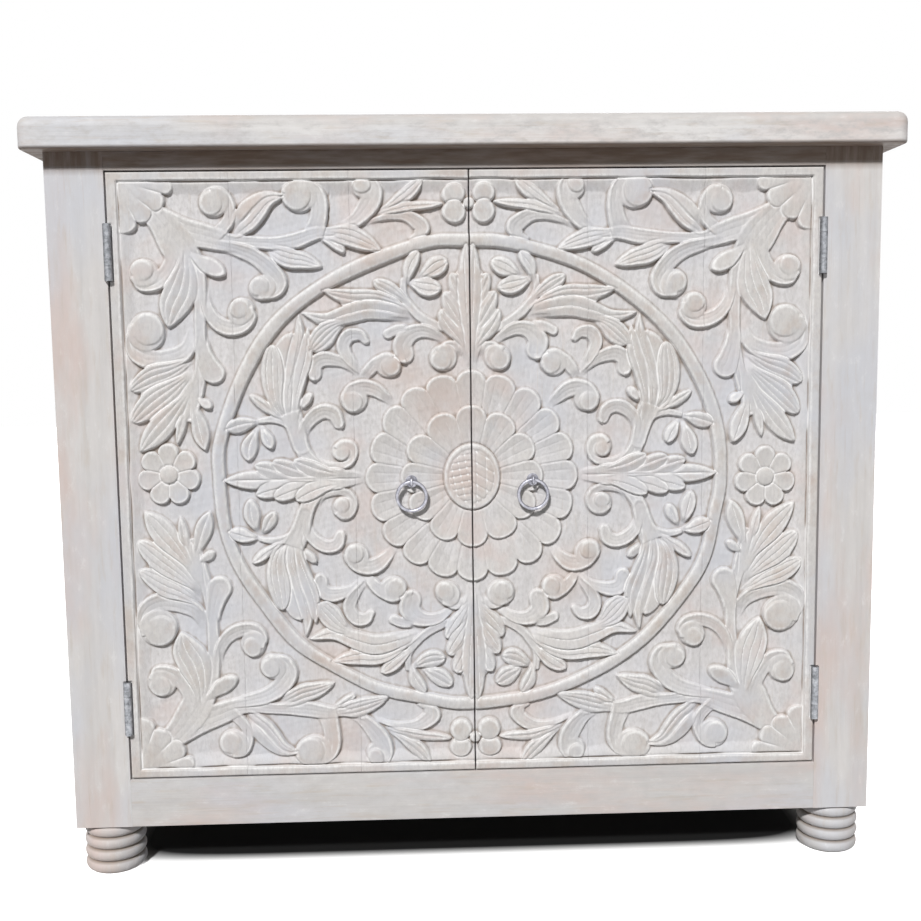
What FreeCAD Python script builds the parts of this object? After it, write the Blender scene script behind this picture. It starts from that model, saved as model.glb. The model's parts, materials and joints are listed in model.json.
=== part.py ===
import FreeCAD, Part
import os
import re

import Sketcher

# A low cabinet on four turned feet with two carved doors, each with a ring pull.
# X runs along the front, Y from the front to the back, Z up; the origin is on the floor in the middle.

# Driving sizes in millimetres.
SIZES = {
    # Top board
    "top_width": 1000,
    "top_depth": 400,
    "top_thickness": 36,
    "top_corner_radius": 14,
    "top_edge_radius": 12,
    "top_lower_radius": 3,
    "side_overhang": 22.5,
    "front_overhang": 24,
    "back_overhang": 6,
    # Carcass frame
    "carcass_height": 789,
    "post_width": 66,
    "post_depth": 56,
    "rail_thickness": 26,
    "rail_setback": 2,
    "top_rail_height": 21,
    "top_rail_depth": 45,
    "bottom_rail_height": 58,
    "upper_rail_height": 50,
    "tenon_length": 22,
    "tenon_fit": 0.2,
    # Panels and boards
    "side_panel_thickness": 12,
    "back_panel_thickness": 8,
    "back_panel_inset": 4,
    "groove_depth": 8,
    "groove_fit": 0.3,
    "board_thickness": 16,
    "board_fit": 0.5,
    "shelf_thickness": 18,
    "shelf_rise": 350,
    "shelf_setback": 3,
    "cleat_size": 20,
    # Turned feet
    "foot_height": 60,
    "foot_radius": 36,
    "foot_inset": 36,
    "foot_groove": 5,
    "bolt_radius": 4,
    "bolt_reach": 35,
    "bolt_fit": 0.1,
    # Doors
    "door_thickness": 24,
    "door_clearance": 2,
    "meeting_gap": 2,
    "side_border": 13,
    "end_border": 11,
    "relief_depth": 7,
    # Carved main forms on the doors
    "medallion_half_width": 302,
    "medallion_half_height": 281,
    "medallion_band": 16,
    "medallion_recess": 1,
    "outer_petal_circle": 106,
    "outer_petal_radius": 18,
    "outer_petal_recess": 2,
    "inner_petal_circle": 65,
    "inner_petal_radius": 18,
    "inner_petal_recess": 1,
    "button_radius": 37,
    "flower_offset": 350,
    "flower_petal_circle": 22,
    "flower_petal_radius": 12,
    "flower_recess": 1.5,
    # Door stop and catches
    "stop_depth": 16,
    "stop_height": 14,
    "stop_gap": 0.5,
    "catch_offset": 40,
    "catch_length": 44,
    "catch_depth": 14,
    "catch_height": 12,
    "catch_gap": 0.2,
    "strike_length": 36,
    "strike_height": 10,
    "strike_thickness": 1.2,
    # Butt hinges
    "hinge_height": 64,
    "upper_hinge_drop": 91,
    "lower_hinge_rise": 88,
    "leaf_thickness": 1.6,
    "leaf_width": 16,
    "leaf_gap": 0.4,
    "barrel_radius": 4.5,
    "barrel_proud": 2.5,
    "knuckle_length": 17,
    "knuckle_gap": 0.3,
    "pin_radius": 2.5,
    "pin_fit": 0.05,
    "notch_clearance": 0.4,
    "seat_clearance": 0.5,
    # Screws
    "screw_pitch": 22,
    "screw_head_radius": 3,
    "screw_radius": 1.5,
    "screw_length": 14,
    "screw_fit": 0.1,
    "catch_screw_length": 18,
    "strike_screw_length": 9,
    "top_screw_head_radius": 4.5,
    "top_screw_radius": 2.2,
    "top_screw_reach": 24,
    "top_screw_inset": 80,
    "rear_screw_setback": 7,
    # Ring pulls
    "pull_offset": 71,
    "pull_height": 470,
    "ring_radius": 17,
    "ring_wire_radius": 2,
    "eye_radius": 4.2,
    "eye_wire_radius": 1.6,
    "collar_radius": 7,
    "collar_thickness": 1.2,
    "shank_radius": 2,
    "shank_fit": 0.2,
    "washer_radius": 6,
    "washer_thickness": 1,
    "nut_radius": 4,
    "nut_height": 3.2,
}

# Shares of a size; they have no unit.
TENON_HEIGHT_SHARE = 0.5
TENON_THICKNESS_SHARE = 0.4
HEAD_LENGTH_SHARE = 0.5
CATCH_SCREW_SHARE = 0.33

# Counts
FOOT_RINGS = 4
OUTER_PETALS = 20
INNER_PETALS = 12
FLOWER_PETALS = 7

# Places and sizes that follow from the driving ones.
PLACES = {
    "carcass_half": "top_width / 2 - side_overhang",
    "carcass_front": "front_overhang - top_depth / 2",
    "carcass_back": "top_depth / 2 - back_overhang",
    "carcass_top": "foot_height + carcass_height",
    "opening_half": "carcass_half - post_width",
    "opening_base": "foot_height + bottom_rail_height",
    "opening_top": "carcass_top - top_rail_height",
    "front_post_back": "carcass_front + post_depth",
    "rear_post_front": "carcass_back - post_depth",
    "upper_rail_base": "carcass_top - upper_rail_height",
    "side_rail_inner": "carcass_half - rail_setback - rail_thickness",
    "side_panel_inner": "side_rail_inner + (rail_thickness - side_panel_thickness) / 2",
    "rear_rail_front": "carcass_back - rail_thickness",
    "back_panel_front": "carcass_back - back_panel_inset - back_panel_thickness",
    "panel_base": "opening_base - groove_depth",
    "panel_height": "upper_rail_base - opening_base + 2 * groove_depth",
    "side_panel_length": "rear_post_front - front_post_back + 2 * groove_depth",
    "board_base": "opening_base - board_thickness",
    "shelf_base": "opening_base + shelf_rise - shelf_thickness",
    "front_foot": "carcass_front + foot_inset",
    "rear_foot": "carcass_back - foot_inset",
    "foot_across": "carcass_half - foot_inset",
    "foot_neck": "foot_radius - foot_groove",
    "foot_half_pitch": f"foot_height / {2 * FOOT_RINGS}",
    "foot_round": "(foot_half_pitch ^ 2 + foot_groove ^ 2) / (2 * foot_groove)",
    "foot_round_middle": "foot_radius - foot_round",
    "hinge_side_gap": "leaf_thickness + leaf_gap",
    "door_edge": "opening_half - hinge_side_gap",
    "door_width": "door_edge - meeting_gap / 2",
    "door_base": "opening_base + door_clearance",
    "door_height": "opening_top - opening_base - 2 * door_clearance",
    "door_back": "carcass_front + door_thickness",
    "door_middle": "door_base + door_height / 2",
    "ground": "carcass_front + relief_depth",
    "stop_front": "door_back + stop_gap",
    "stop_base": "opening_top - stop_height",
    "catch_base": "stop_base - catch_height",
    "hinge_across": "opening_half - leaf_thickness - leaf_gap / 2",
    "hinge_front": "carcass_front - barrel_proud",
    "plate_front": "hinge_front + barrel_radius + knuckle_gap",
    "leaf_screw_line": "plate_front + leaf_width / 2",
    "notch_reach": "barrel_radius + notch_clearance",
    "collar_back": "carcass_front + outer_petal_recess",
    "pull_axis": "collar_back - collar_thickness - eye_radius - eye_wire_radius",
    "shank_length": "door_back + washer_thickness + nut_height - pull_axis - eye_radius",
}

doc = FreeCAD.newDocument("carved_low_cabinet")


def formula(words, sheets=("Sizes", "Places")):
    """Lead each size's name in an expression with the sheet that holds it."""
    def with_sheet(match):
        word = match.group()
        if word in SIZES and "Sizes" in sheets:
            return "Sizes." + word
        if word in PLACES and "Places" in sheets:
            return "Places." + word
        return word
    return re.sub(r"[a-z_]+", with_sheet, words)


def fill_sheet(name, cells):
    """Write one row per size: its name and its value, with the name as the alias."""
    sheet = doc.addObject("Spreadsheet::Sheet", name)
    for row, (alias, content) in enumerate(cells.items(), start=1):
        sheet.set(f"A{row}", alias)
        sheet.set(f"B{row}", content)
        sheet.setAlias(f"B{row}", alias)
    doc.recompute()
    return sheet


sizes = fill_sheet("Sizes", {alias: str(value) for alias, value in SIZES.items()})
places = fill_sheet("Places", {alias: "=" + formula(words, ("Sizes",)) for alias, words in PLACES.items()})

# Turns that lay the Z direction of a primitive along another direction.
TURNS = {
    "z": FreeCAD.Rotation(),
    "-z": FreeCAD.Rotation(FreeCAD.Vector(1, 0, 0), 180),
    "x": FreeCAD.Rotation(FreeCAD.Vector(0, 1, 0), 90),
    "-x": FreeCAD.Rotation(FreeCAD.Vector(0, 1, 0), -90),
    "y": FreeCAD.Rotation(FreeCAD.Vector(1, 0, 0), -90),
    "-y": FreeCAD.Rotation(FreeCAD.Vector(1, 0, 0), 90),
}

nodes = []


def node(piece, name):
    """Name a finished sub-part and put it on the list of files to write."""
    piece.Label = name
    nodes.append(piece)
    return piece


def bind(piece, **expressions):
    for prop, words in expressions.items():
        piece.setExpression(prop, formula(words))


def put(piece, corner, along="z"):
    """Turn a piece and bind its place to three expressions."""
    piece.Placement = FreeCAD.Placement(FreeCAD.Vector(), TURNS[along])
    for axis, words in zip("xyz", corner):
        piece.setExpression("Placement.Base." + axis, formula(words))
    return piece


def box(name, size, corner):
    piece = doc.addObject("Part::Box", name)
    bind(piece, Length=size[0], Width=size[1], Height=size[2])
    return put(piece, corner)


def rod(name, radius, length, start, along):
    piece = doc.addObject("Part::Cylinder", name)
    bind(piece, Radius=radius, Height=length)
    return put(piece, start, along)


def ring(name, radius, wire_radius, middle, along):
    piece = doc.addObject("Part::Torus", name)
    bind(piece, Radius1=radius, Radius2=wire_radius)
    return put(piece, middle, along)


def fuse(name, pieces):
    piece = doc.addObject("Part::MultiFuse", name)
    piece.Shapes = pieces
    piece.Refine = True
    return piece


def cut(name, base, tools):
    """Take one or more tools away from a piece."""
    piece = doc.addObject("Part::Cut", name)
    piece.Base = base
    piece.Tool = tools[0] if len(tools) == 1 else fuse(name + "_tools", tools)
    piece.Refine = True
    return piece


def common(name, first, second):
    piece = doc.addObject("Part::Common", name)
    piece.Base = first
    piece.Tool = second
    return piece


def group(name, pieces):
    """Several separate solids of one kind in one sub-part."""
    piece = doc.addObject("Part::Compound", name)
    piece.Links = pieces
    return piece


def mirror(name, source):
    """The right-hand copy of a left-hand piece."""
    piece = doc.addObject("Part::Mirroring", name)
    piece.Source = source
    piece.Normal = FreeCAD.Vector(1, 0, 0)
    return piece


def screw(name, start, along, radius, head_radius, length, fit="0"):
    """A countersunk screw, or with a fit the hole that takes it."""
    head = doc.addObject("Part::Cone", name + "_head")
    bind(head, Radius1=f"{head_radius} + {fit}", Radius2=f"{radius} + {fit}",
         Height=f"{head_radius} * {HEAD_LENGTH_SHARE}")
    put(head, start, along)
    shank = rod(name + "_shank", f"{radius} + {fit}", f"{length} + {fit}", start, along)
    return fuse(name, [head, shank])


# Top board
def find_edges(shape, test):
    return [f"Edge{index}" for index, edge in enumerate(shape.Edges, start=1) if test(edge)]


def is_upright(edge):
    reach = edge.BoundBox
    return reach.ZLength > reach.XLength + reach.YLength


def round_edges(body, name, edge_names, radius):
    base = body.Tip
    fillet = body.newObject("PartDesign::Fillet", name)
    fillet.Base = (base, edge_names)
    bind(fillet, Radius=radius)
    body.Tip = fillet
    doc.recompute()
    return fillet


def origin_plane(body, role):
    return next(feature for feature in body.Origin.OriginFeatures if feature.Role == role)


def new_sketch(body, name, role):
    sketch = body.newObject("Sketcher::SketchObject", name)
    sketch.AttachmentSupport = [(origin_plane(body, role), "")]
    sketch.MapMode = "FlatFace"
    return sketch


def bind_constraint(sketch, name, constraint, words):
    index = sketch.addConstraint(constraint)
    sketch.renameConstraint(index, name)
    sketch.setExpression("Constraints." + name, formula(words))


def make_top_board():
    """A board with rounded corners, a rounded upper edge and an eased lower edge."""
    body = doc.addObject("PartDesign::Body", "top_board_body")
    sketch = new_sketch(body, "top_outline", "XY_Plane")
    half_width = sizes.top_width / 2
    half_depth = sizes.top_depth / 2
    corners = [(-half_width, -half_depth), (half_width, -half_depth),
               (half_width, half_depth), (-half_width, half_depth)]
    points = [FreeCAD.Vector(across, along, 0) for across, along in corners]
    for number in range(4):
        sketch.addGeometry(Part.LineSegment(points[number], points[(number + 1) % 4]))
    for number in range(4):
        sketch.addConstraint(Sketcher.Constraint("Coincident", number, 2, (number + 1) % 4, 1))
    for number, direction in enumerate(("Horizontal", "Vertical", "Horizontal", "Vertical")):
        sketch.addConstraint(Sketcher.Constraint(direction, number))
    sketch.addConstraint(Sketcher.Constraint("Symmetric", 0, 1, 1, 2, -1, 1))
    bind_constraint(sketch, "width", Sketcher.Constraint("DistanceX", 0, 1, 0, 2, half_width), "top_width")
    bind_constraint(sketch, "depth", Sketcher.Constraint("DistanceY", 1, 1, 1, 2, half_depth), "top_depth")
    pad = body.newObject("PartDesign::Pad", "top_pad")
    pad.Profile = sketch
    bind(pad, Length="top_thickness")
    doc.recompute()
    upright = find_edges(pad.Shape, is_upright)
    round_edges(body, "top_corners", upright, "top_corner_radius")
    lower = find_edges(body.Tip.Shape, lambda edge: edge.BoundBox.ZMax < sizes.top_lower_radius)
    round_edges(body, "top_lower_edge", lower, "top_lower_radius")
    upper_limit = sizes.top_thickness - sizes.top_lower_radius
    upper = find_edges(body.Tip.Shape, lambda edge: edge.BoundBox.ZMin > upper_limit)
    round_edges(body, "top_upper_edge", upper, "top_edge_radius")
    return put(body, ("0", "0", "carcass_top"))


# Screws that hold the top board come up through the front and rear top rails.
def top_screw_set(name, fit="0"):
    lines = {
        "front": ("opening_top", "carcass_front + top_rail_depth / 2", "top_rail_height"),
        "rear": ("upper_rail_base", "rear_rail_front + rear_screw_setback", "upper_rail_height"),
    }
    pieces = []
    for line, (base, depth, rail_height) in lines.items():
        for number in (-1, 0, 1):
            start = (f"{number} * (opening_half - top_screw_inset)", depth, base)
            pieces.append(screw(f"{name}_{line}_{number + 2}", start, "z", "top_screw_radius",
                                "top_screw_head_radius", f"{rail_height} + top_screw_reach", fit))
    return pieces


top_screw_holes = top_screw_set("top_screw_hole", "screw_fit")
node(group("top_screws", top_screw_set("top_screw")), "top_screws")
node(cut("top_board", make_top_board(), top_screw_holes), "top_board")


# Rails with a tenon at each end, and the mortises that take the tenons.
def tenon_box(name, rail_size, rail_corner, length_axis, thickness_axis, fit):
    """The tenon bar that runs through a rail and stands out at both ends."""
    size = list(rail_size)
    corner = list(rail_corner)
    size[length_axis] = f"{rail_size[length_axis]} + 2 * tenon_length + 2 * {fit}"
    corner[length_axis] = f"{rail_corner[length_axis]} - tenon_length - {fit}"
    for axis, share in ((2, TENON_HEIGHT_SHARE), (thickness_axis, TENON_THICKNESS_SHARE)):
        side = (1 - share) / 2
        size[axis] = f"({rail_size[axis]}) * {share} + 2 * {fit}"
        corner[axis] = f"{rail_corner[axis]} + ({rail_size[axis]}) * {side} - {fit}"
    return box(name, size, corner)


def make_rail(name, size, corner, length_axis):
    """A rail and the room its tenons need in the posts."""
    thickness_axis = 1 - length_axis
    blank = box(name + "_blank", size, corner)
    tenons = tenon_box(name + "_tenons", size, corner, length_axis, thickness_axis, "0")
    room = tenon_box(name + "_room", size, corner, length_axis, thickness_axis, "tenon_fit")
    return fuse(name + "_with_tenons", [blank, tenons]), room


front_top_rail, front_top_room = make_rail(
    "front_top_rail",
    ("2 * opening_half", "top_rail_depth", "top_rail_height"),
    ("-opening_half", "carcass_front", "opening_top"), 0)
front_bottom_rail, front_bottom_room = make_rail(
    "front_bottom_rail",
    ("2 * opening_half", "rail_thickness", "bottom_rail_height"),
    ("-opening_half", "carcass_front", "foot_height"), 0)
rear_top_rail, rear_top_room = make_rail(
    "rear_top_rail",
    ("2 * opening_half", "rail_thickness", "upper_rail_height"),
    ("-opening_half", "rear_rail_front", "upper_rail_base"), 0)
rear_bottom_rail, rear_bottom_room = make_rail(
    "rear_bottom_rail",
    ("2 * opening_half", "rail_thickness", "bottom_rail_height"),
    ("-opening_half", "rear_rail_front", "foot_height"), 0)
side_rail_corner = "rail_setback - carcass_half"
side_rail_length = "(rear_post_front - front_post_back)"
left_top_rail, left_top_room = make_rail(
    "left_top_rail",
    ("rail_thickness", side_rail_length, "upper_rail_height"),
    (side_rail_corner, "front_post_back", "upper_rail_base"), 1)
left_bottom_rail, left_bottom_room = make_rail(
    "left_bottom_rail",
    ("rail_thickness", side_rail_length, "bottom_rail_height"),
    (side_rail_corner, "front_post_back", "foot_height"), 1)


# Panels held loose in grooves.
def grown_box(name, size, corner, fit):
    """A box that is wider than a panel by the fit on every side."""
    return box(name, [f"{side} + 2 * {fit}" for side in size], [f"{place} - {fit}" for place in corner])


left_panel_size = ("side_panel_thickness", "side_panel_length", "panel_height")
left_panel_corner = ("-side_panel_inner - side_panel_thickness", "front_post_back - groove_depth",
                     "panel_base")
left_side_panel = box("left_side_panel_board", left_panel_size, left_panel_corner)
left_panel_room = grown_box("left_panel_room", left_panel_size, left_panel_corner, "groove_fit")
back_panel_size = ("2 * (opening_half + groove_depth)", "back_panel_thickness", "panel_height")
back_panel_corner = ("-opening_half - groove_depth", "back_panel_front", "panel_base")
back_panel = box("back_panel_board", back_panel_size, back_panel_corner)
back_panel_room = grown_box("back_panel_room", back_panel_size, back_panel_corner, "groove_fit")
node(left_side_panel, "left_side_panel")
node(mirror("right_side_panel_board", left_side_panel), "right_side_panel")
node(back_panel, "back_panel")

node(cut("front_top_rail", front_top_rail, top_screw_holes[:3]), "front_top_rail")
node(front_bottom_rail, "front_bottom_rail")
node(cut("rear_top_rail", rear_top_rail, top_screw_holes[3:] + [back_panel_room]), "rear_top_rail")
node(cut("rear_bottom_rail", rear_bottom_rail, [back_panel_room]), "rear_bottom_rail")
left_top_rail = node(cut("left_top_rail", left_top_rail, [left_panel_room]), "left_top_rail")
left_bottom_rail = node(cut("left_bottom_rail", left_bottom_rail, [left_panel_room]), "left_bottom_rail")
node(mirror("right_top_rail", left_top_rail), "right_top_rail")
node(mirror("right_bottom_rail", left_bottom_rail), "right_bottom_rail")


# Turned feet and the bolts that hold them to the posts.
def make_foot(name, depth):
    """A stack of round rings, turned about its upright middle line.

    Each ring's arc is held by its two ends and its middle, which leave it only one way to lie.
    """
    body = doc.addObject("PartDesign::Body", name + "_body")
    sketch = new_sketch(body, name + "_profile", "XZ_Plane")
    pitch = sizes.foot_height / FOOT_RINGS
    neck = places.foot_neck
    levels = [number * pitch for number in range(FOOT_RINGS + 1)]
    rims = [FreeCAD.Vector(neck, level, 0) for level in levels]
    for number, level in enumerate(levels[:-1]):
        crest = FreeCAD.Vector(sizes.foot_radius, level + pitch / 2, 0)
        sketch.addGeometry(Part.Arc(rims[number], crest, rims[number + 1]))
    top_middle = FreeCAD.Vector(0, sizes.foot_height, 0)
    sketch.addGeometry(Part.LineSegment(rims[-1], top_middle))
    sketch.addGeometry(Part.LineSegment(top_middle, FreeCAD.Vector()))
    sketch.addGeometry(Part.LineSegment(FreeCAD.Vector(), rims[0]))
    for number, level in enumerate(levels[:-1]):
        neck_size = Sketcher.Constraint("DistanceX", -1, 1, number, 1, neck)
        bind_constraint(sketch, f"neck_{number}", neck_size, "foot_neck")
        if number:
            level_size = Sketcher.Constraint("DistanceY", -1, 1, number, 1, level)
            bind_constraint(sketch, f"level_{number}", level_size, f"foot_height * {number} / {FOOT_RINGS}")
            sketch.addConstraint(Sketcher.Constraint("Coincident", number - 1, 2, number, 1))
        middle_size = Sketcher.Constraint("DistanceX", -1, 1, number, 3, places.foot_round_middle)
        bind_constraint(sketch, f"middle_{number}", middle_size, "foot_round_middle")
    last = FOOT_RINGS - 1
    top_neck = Sketcher.Constraint("DistanceX", -1, 1, last, 2, neck)
    bind_constraint(sketch, "neck_top", top_neck, "foot_neck")
    top_level = Sketcher.Constraint("DistanceY", -1, 1, last, 2, levels[-1])
    bind_constraint(sketch, "level_top", top_level, "foot_height")
    sketch.addConstraint(Sketcher.Constraint("Coincident", last, 2, last + 1, 1))
    sketch.addConstraint(Sketcher.Constraint("Coincident", last + 1, 2, last + 2, 1))
    sketch.addConstraint(Sketcher.Constraint("Coincident", last + 2, 2, last + 3, 1))
    sketch.addConstraint(Sketcher.Constraint("Coincident", last + 3, 2, 0, 1))
    sketch.addConstraint(Sketcher.Constraint("Coincident", last + 2, 2, -1, 1))
    sketch.addConstraint(Sketcher.Constraint("Horizontal", last + 1))
    sketch.addConstraint(Sketcher.Constraint("Vertical", last + 2))
    sketch.addConstraint(Sketcher.Constraint("Horizontal", last + 3))
    turned = body.newObject("PartDesign::Revolution", name + "_turned")
    turned.Profile = sketch
    turned.ReferenceAxis = (sketch, ["V_Axis"])
    body.Tip = turned
    return put(body, ("-foot_across", depth, "0"))


def foot_bolt(name, depth, fit):
    return rod(name, f"bolt_radius + {fit}", f"2 * (bolt_reach + {fit})",
               ("-foot_across", depth, f"foot_height - bolt_reach - {fit}"), "z")


bolt_holes = {}
left_bolts = []
for row in ("front", "rear"):
    bolt_holes[row] = foot_bolt(f"{row}_bolt_hole", f"{row}_foot", "bolt_fit")
    left_bolts.append(foot_bolt(f"{row}_left_bolt", f"{row}_foot", "0"))
    foot = node(cut(f"{row}_left_foot", make_foot(f"{row}_left_foot", f"{row}_foot"), [bolt_holes[row]]),
                f"{row}_left_foot")
    node(mirror(f"{row}_right_foot", foot), f"{row}_right_foot")
right_bolts = [mirror(bolt.Name.replace("left", "right"), bolt) for bolt in left_bolts]
node(group("foot_bolts", left_bolts + right_bolts), "foot_bolts")


# Butt hinges: a leaf on the post, a leaf let into the door's edge, and a pin.
HINGE_MIDDLES = {
    "upper": "opening_top - upper_hinge_drop",
    "lower": "opening_base + lower_hinge_rise",
}
HINGE_BASES = {level: f"{middle} - hinge_height / 2" for level, middle in HINGE_MIDDLES.items()}
FRAME_PLATE = "-opening_half"
DOOR_PLATE = "-door_edge"


def make_leaf(name, plate, base, knuckles):
    """A flat plate with knuckles; each knuckle is a start above the base and a length."""
    bodies = [box(name + "_plate", ("leaf_thickness", "leaf_width", "hinge_height"),
                  (plate, "plate_front", base))]
    for number, (start, length) in enumerate(knuckles, start=1):
        level = f"{base} + {start}"
        bodies.append(box(f"{name}_web_{number}", ("leaf_thickness", "plate_front - hinge_front", length),
                          (plate, "hinge_front", level)))
        bodies.append(rod(f"{name}_knuckle_{number}", "barrel_radius", length,
                          ("-hinge_across", "hinge_front", level), "z"))
    bore = rod(name + "_bore", "pin_radius + pin_fit", "hinge_height",
               ("-hinge_across", "hinge_front", base), "z")
    return fuse(name + "_solid", bodies), bore


def leaf_screw_set(name, plate, along, level, fit="0"):
    pieces = []
    for number in (-1, 0, 1):
        start = (plate, "leaf_screw_line", f"{HINGE_MIDDLES[level]} + {number} * screw_pitch")
        pieces.append(screw(f"{name}_{number + 2}", start, along, "screw_radius", "screw_head_radius",
                            "screw_length", fit))
    return pieces


FRAME_KNUCKLES = (("0", "knuckle_length"), ("hinge_height - knuckle_length", "knuckle_length"))
DOOR_KNUCKLES = (("knuckle_length + knuckle_gap", "hinge_height - 2 * knuckle_length - 2 * knuckle_gap"),)
FRAME_SCREW_FACE = "leaf_thickness - opening_half"

frame_screws = []
door_screws = []
pins = []
post_cuts = []
door_cuts = []
for level, base in HINGE_BASES.items():
    frame_leaf, frame_bore = make_leaf(f"{level}_left_frame_leaf", FRAME_PLATE, base, FRAME_KNUCKLES)
    door_leaf, door_bore = make_leaf(f"{level}_left_door_leaf", DOOR_PLATE, base, DOOR_KNUCKLES)
    frame_holes = leaf_screw_set(f"{level}_frame_hole", FRAME_SCREW_FACE, "-x", level, "screw_fit")
    door_holes = leaf_screw_set(f"{level}_door_hole", DOOR_PLATE, "x", level, "screw_fit")
    frame_leaf = node(cut(f"{level}_left_frame_leaf", frame_leaf, [frame_bore] + frame_holes),
                      f"{level}_left_frame_leaf")
    node(mirror(f"{level}_right_frame_leaf", frame_leaf), f"{level}_right_frame_leaf")
    door_leaf = node(cut(f"{level}_left_door_leaf", door_leaf, [door_bore] + door_holes),
                     f"{level}_left_door_leaf")
    node(mirror(f"{level}_right_door_leaf", door_leaf), f"{level}_right_door_leaf")
    frame_screws += leaf_screw_set(f"{level}_frame_screw", FRAME_SCREW_FACE, "-x", level)
    door_screws += leaf_screw_set(f"{level}_door_screw", DOOR_PLATE, "x", level)
    pins.append(rod(f"{level}_left_pin", "pin_radius", "hinge_height",
                    ("-hinge_across", "hinge_front", base), "z"))
    notch = box(f"{level}_barrel_notch",
                ("2 * notch_reach", "hinge_front + notch_reach - carcass_front",
                 "hinge_height + 2 * seat_clearance"),
                ("-hinge_across - notch_reach", "carcass_front", f"{base} - seat_clearance"))
    seat = box(f"{level}_leaf_seat",
               ("leaf_thickness", "plate_front + leaf_width + seat_clearance - carcass_front",
                "hinge_height + 2 * seat_clearance"),
               (DOOR_PLATE, "carcass_front", f"{base} - seat_clearance"))
    post_cuts += [notch] + frame_holes
    door_cuts += [notch, seat] + door_holes

left_frame_screws = group("left_frame_leaf_screws", frame_screws)
right_frame_screws = mirror("right_frame_leaf_screws", left_frame_screws)
node(group("frame_leaf_screws", [left_frame_screws, right_frame_screws]), "frame_leaf_screws")
left_door_screws = node(group("left_door_leaf_screws", door_screws), "left_door_leaf_screws")
node(mirror("right_door_leaf_screws", left_door_screws), "right_door_leaf_screws")
left_pins = group("left_hinge_pins", pins)
node(group("hinge_pins", [left_pins, mirror("right_hinge_pins", left_pins)]), "hinge_pins")

# Corner posts with mortises, grooves, hinge notches and bolt holes.
front_left_post = node(
    cut("front_left_post",
        box("front_left_post_blank", ("post_width", "post_depth", "carcass_height"),
            ("-carcass_half", "carcass_front", "foot_height")),
        [front_top_room, front_bottom_room, left_top_room, left_bottom_room, left_panel_room,
         bolt_holes["front"]] + post_cuts),
    "front_left_post")
rear_left_post = node(
    cut("rear_left_post",
        box("rear_left_post_blank", ("post_width", "post_depth", "carcass_height"),
            ("-carcass_half", "rear_post_front", "foot_height")),
        [rear_top_room, rear_bottom_room, left_top_room, left_bottom_room, left_panel_room,
         back_panel_room, bolt_holes["rear"]]),
    "rear_left_post")
node(mirror("front_right_post", front_left_post), "front_right_post")
node(mirror("rear_right_post", rear_left_post), "rear_right_post")


# Bottom board and shelf, notched round the posts, with the cleats that carry them.
def post_notches(name, row, base, thickness):
    """The room that a pair of posts takes out of a board."""
    front = {"front": "carcass_front", "rear": "rear_post_front - board_fit"}[row]
    left = box(f"{name}_{row}_left_notch", ("post_width + board_fit", "post_depth + board_fit", thickness),
               ("-carcass_half", front, base))
    return [left, mirror(f"{name}_{row}_right_notch", left)]


bottom_blank = box("bottom_board_blank",
                   ("2 * (side_rail_inner - board_fit)",
                    "rear_rail_front - carcass_front - rail_thickness - 2 * board_fit", "board_thickness"),
                   ("board_fit - side_rail_inner", "carcass_front + rail_thickness + board_fit",
                    "board_base"))
bottom_notches = [notch for row in ("front", "rear")
                  for notch in post_notches("bottom_board", row, "board_base", "board_thickness")]
node(cut("bottom_board", bottom_blank, bottom_notches), "bottom_board")
for row, depth in (("front", "carcass_front + rail_thickness"), ("rear", "rear_rail_front - cleat_size")):
    node(box(f"{row}_bottom_cleat", ("2 * (opening_half - board_fit)", "cleat_size", "cleat_size"),
             ("board_fit - opening_half", depth, "board_base - cleat_size")), f"{row}_bottom_cleat")

shelf_front = "front_post_back + shelf_setback"
shelf_blank = box("shelf_blank",
                  ("2 * (side_panel_inner - board_fit)", f"back_panel_front - board_fit - ({shelf_front})",
                   "shelf_thickness"),
                  ("board_fit - side_panel_inner", shelf_front, "shelf_base"))
node(cut("shelf", shelf_blank, post_notches("shelf", "rear", "shelf_base", "shelf_thickness")), "shelf")
left_shelf_cleat = node(
    box("left_shelf_cleat",
        ("cleat_size", "rear_post_front - front_post_back - 2 * board_fit", "cleat_size"),
        ("-side_panel_inner", "front_post_back + board_fit", "shelf_base - cleat_size")),
    "left_shelf_cleat")
node(mirror("right_shelf_cleat", left_shelf_cleat), "right_shelf_cleat")


# Door stop under the front top rail, and the catches that hang from it.
def catch_screw_set(name, fit="0"):
    pieces = []
    for number in (-1, 1):
        start = (f"{number} * catch_length * {CATCH_SCREW_SHARE} - catch_offset",
                 "door_back + strike_thickness + catch_gap + catch_depth / 2", "catch_base")
        pieces.append(screw(f"{name}_{number + 2}", start, "z", "screw_radius", "screw_head_radius",
                            "catch_screw_length", fit))
    return pieces


catch_holes = group("left_catch_holes", catch_screw_set("catch_hole", "screw_fit"))
stop_blank = box("door_stop_blank", ("2 * (opening_half - board_fit)", "stop_depth", "stop_height"),
                 ("board_fit - opening_half", "stop_front", "stop_base"))
node(cut("door_stop", stop_blank, [catch_holes, mirror("right_catch_holes", catch_holes)]), "door_stop")
left_catch = cut("left_catch",
                 box("left_catch_block", ("catch_length", "catch_depth", "catch_height"),
                     ("-catch_offset - catch_length / 2", "door_back + strike_thickness + catch_gap",
                      "catch_base")),
                 [catch_holes])
node(group("magnetic_catches", [left_catch, mirror("right_catch", left_catch)]), "magnetic_catches")
left_catch_screws = group("left_catch_screws", catch_screw_set("catch_screw"))
node(group("catch_screws", [left_catch_screws, mirror("right_catch_screws", left_catch_screws)]),
     "catch_screws")


def strike_screw(name, fit="0"):
    start = ("-catch_offset", "door_back + strike_thickness", "catch_base + catch_height / 2")
    return screw(name, start, "-y", "screw_radius", "screw_head_radius / 2 + screw_radius / 2",
                 "strike_screw_length", fit)


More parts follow.
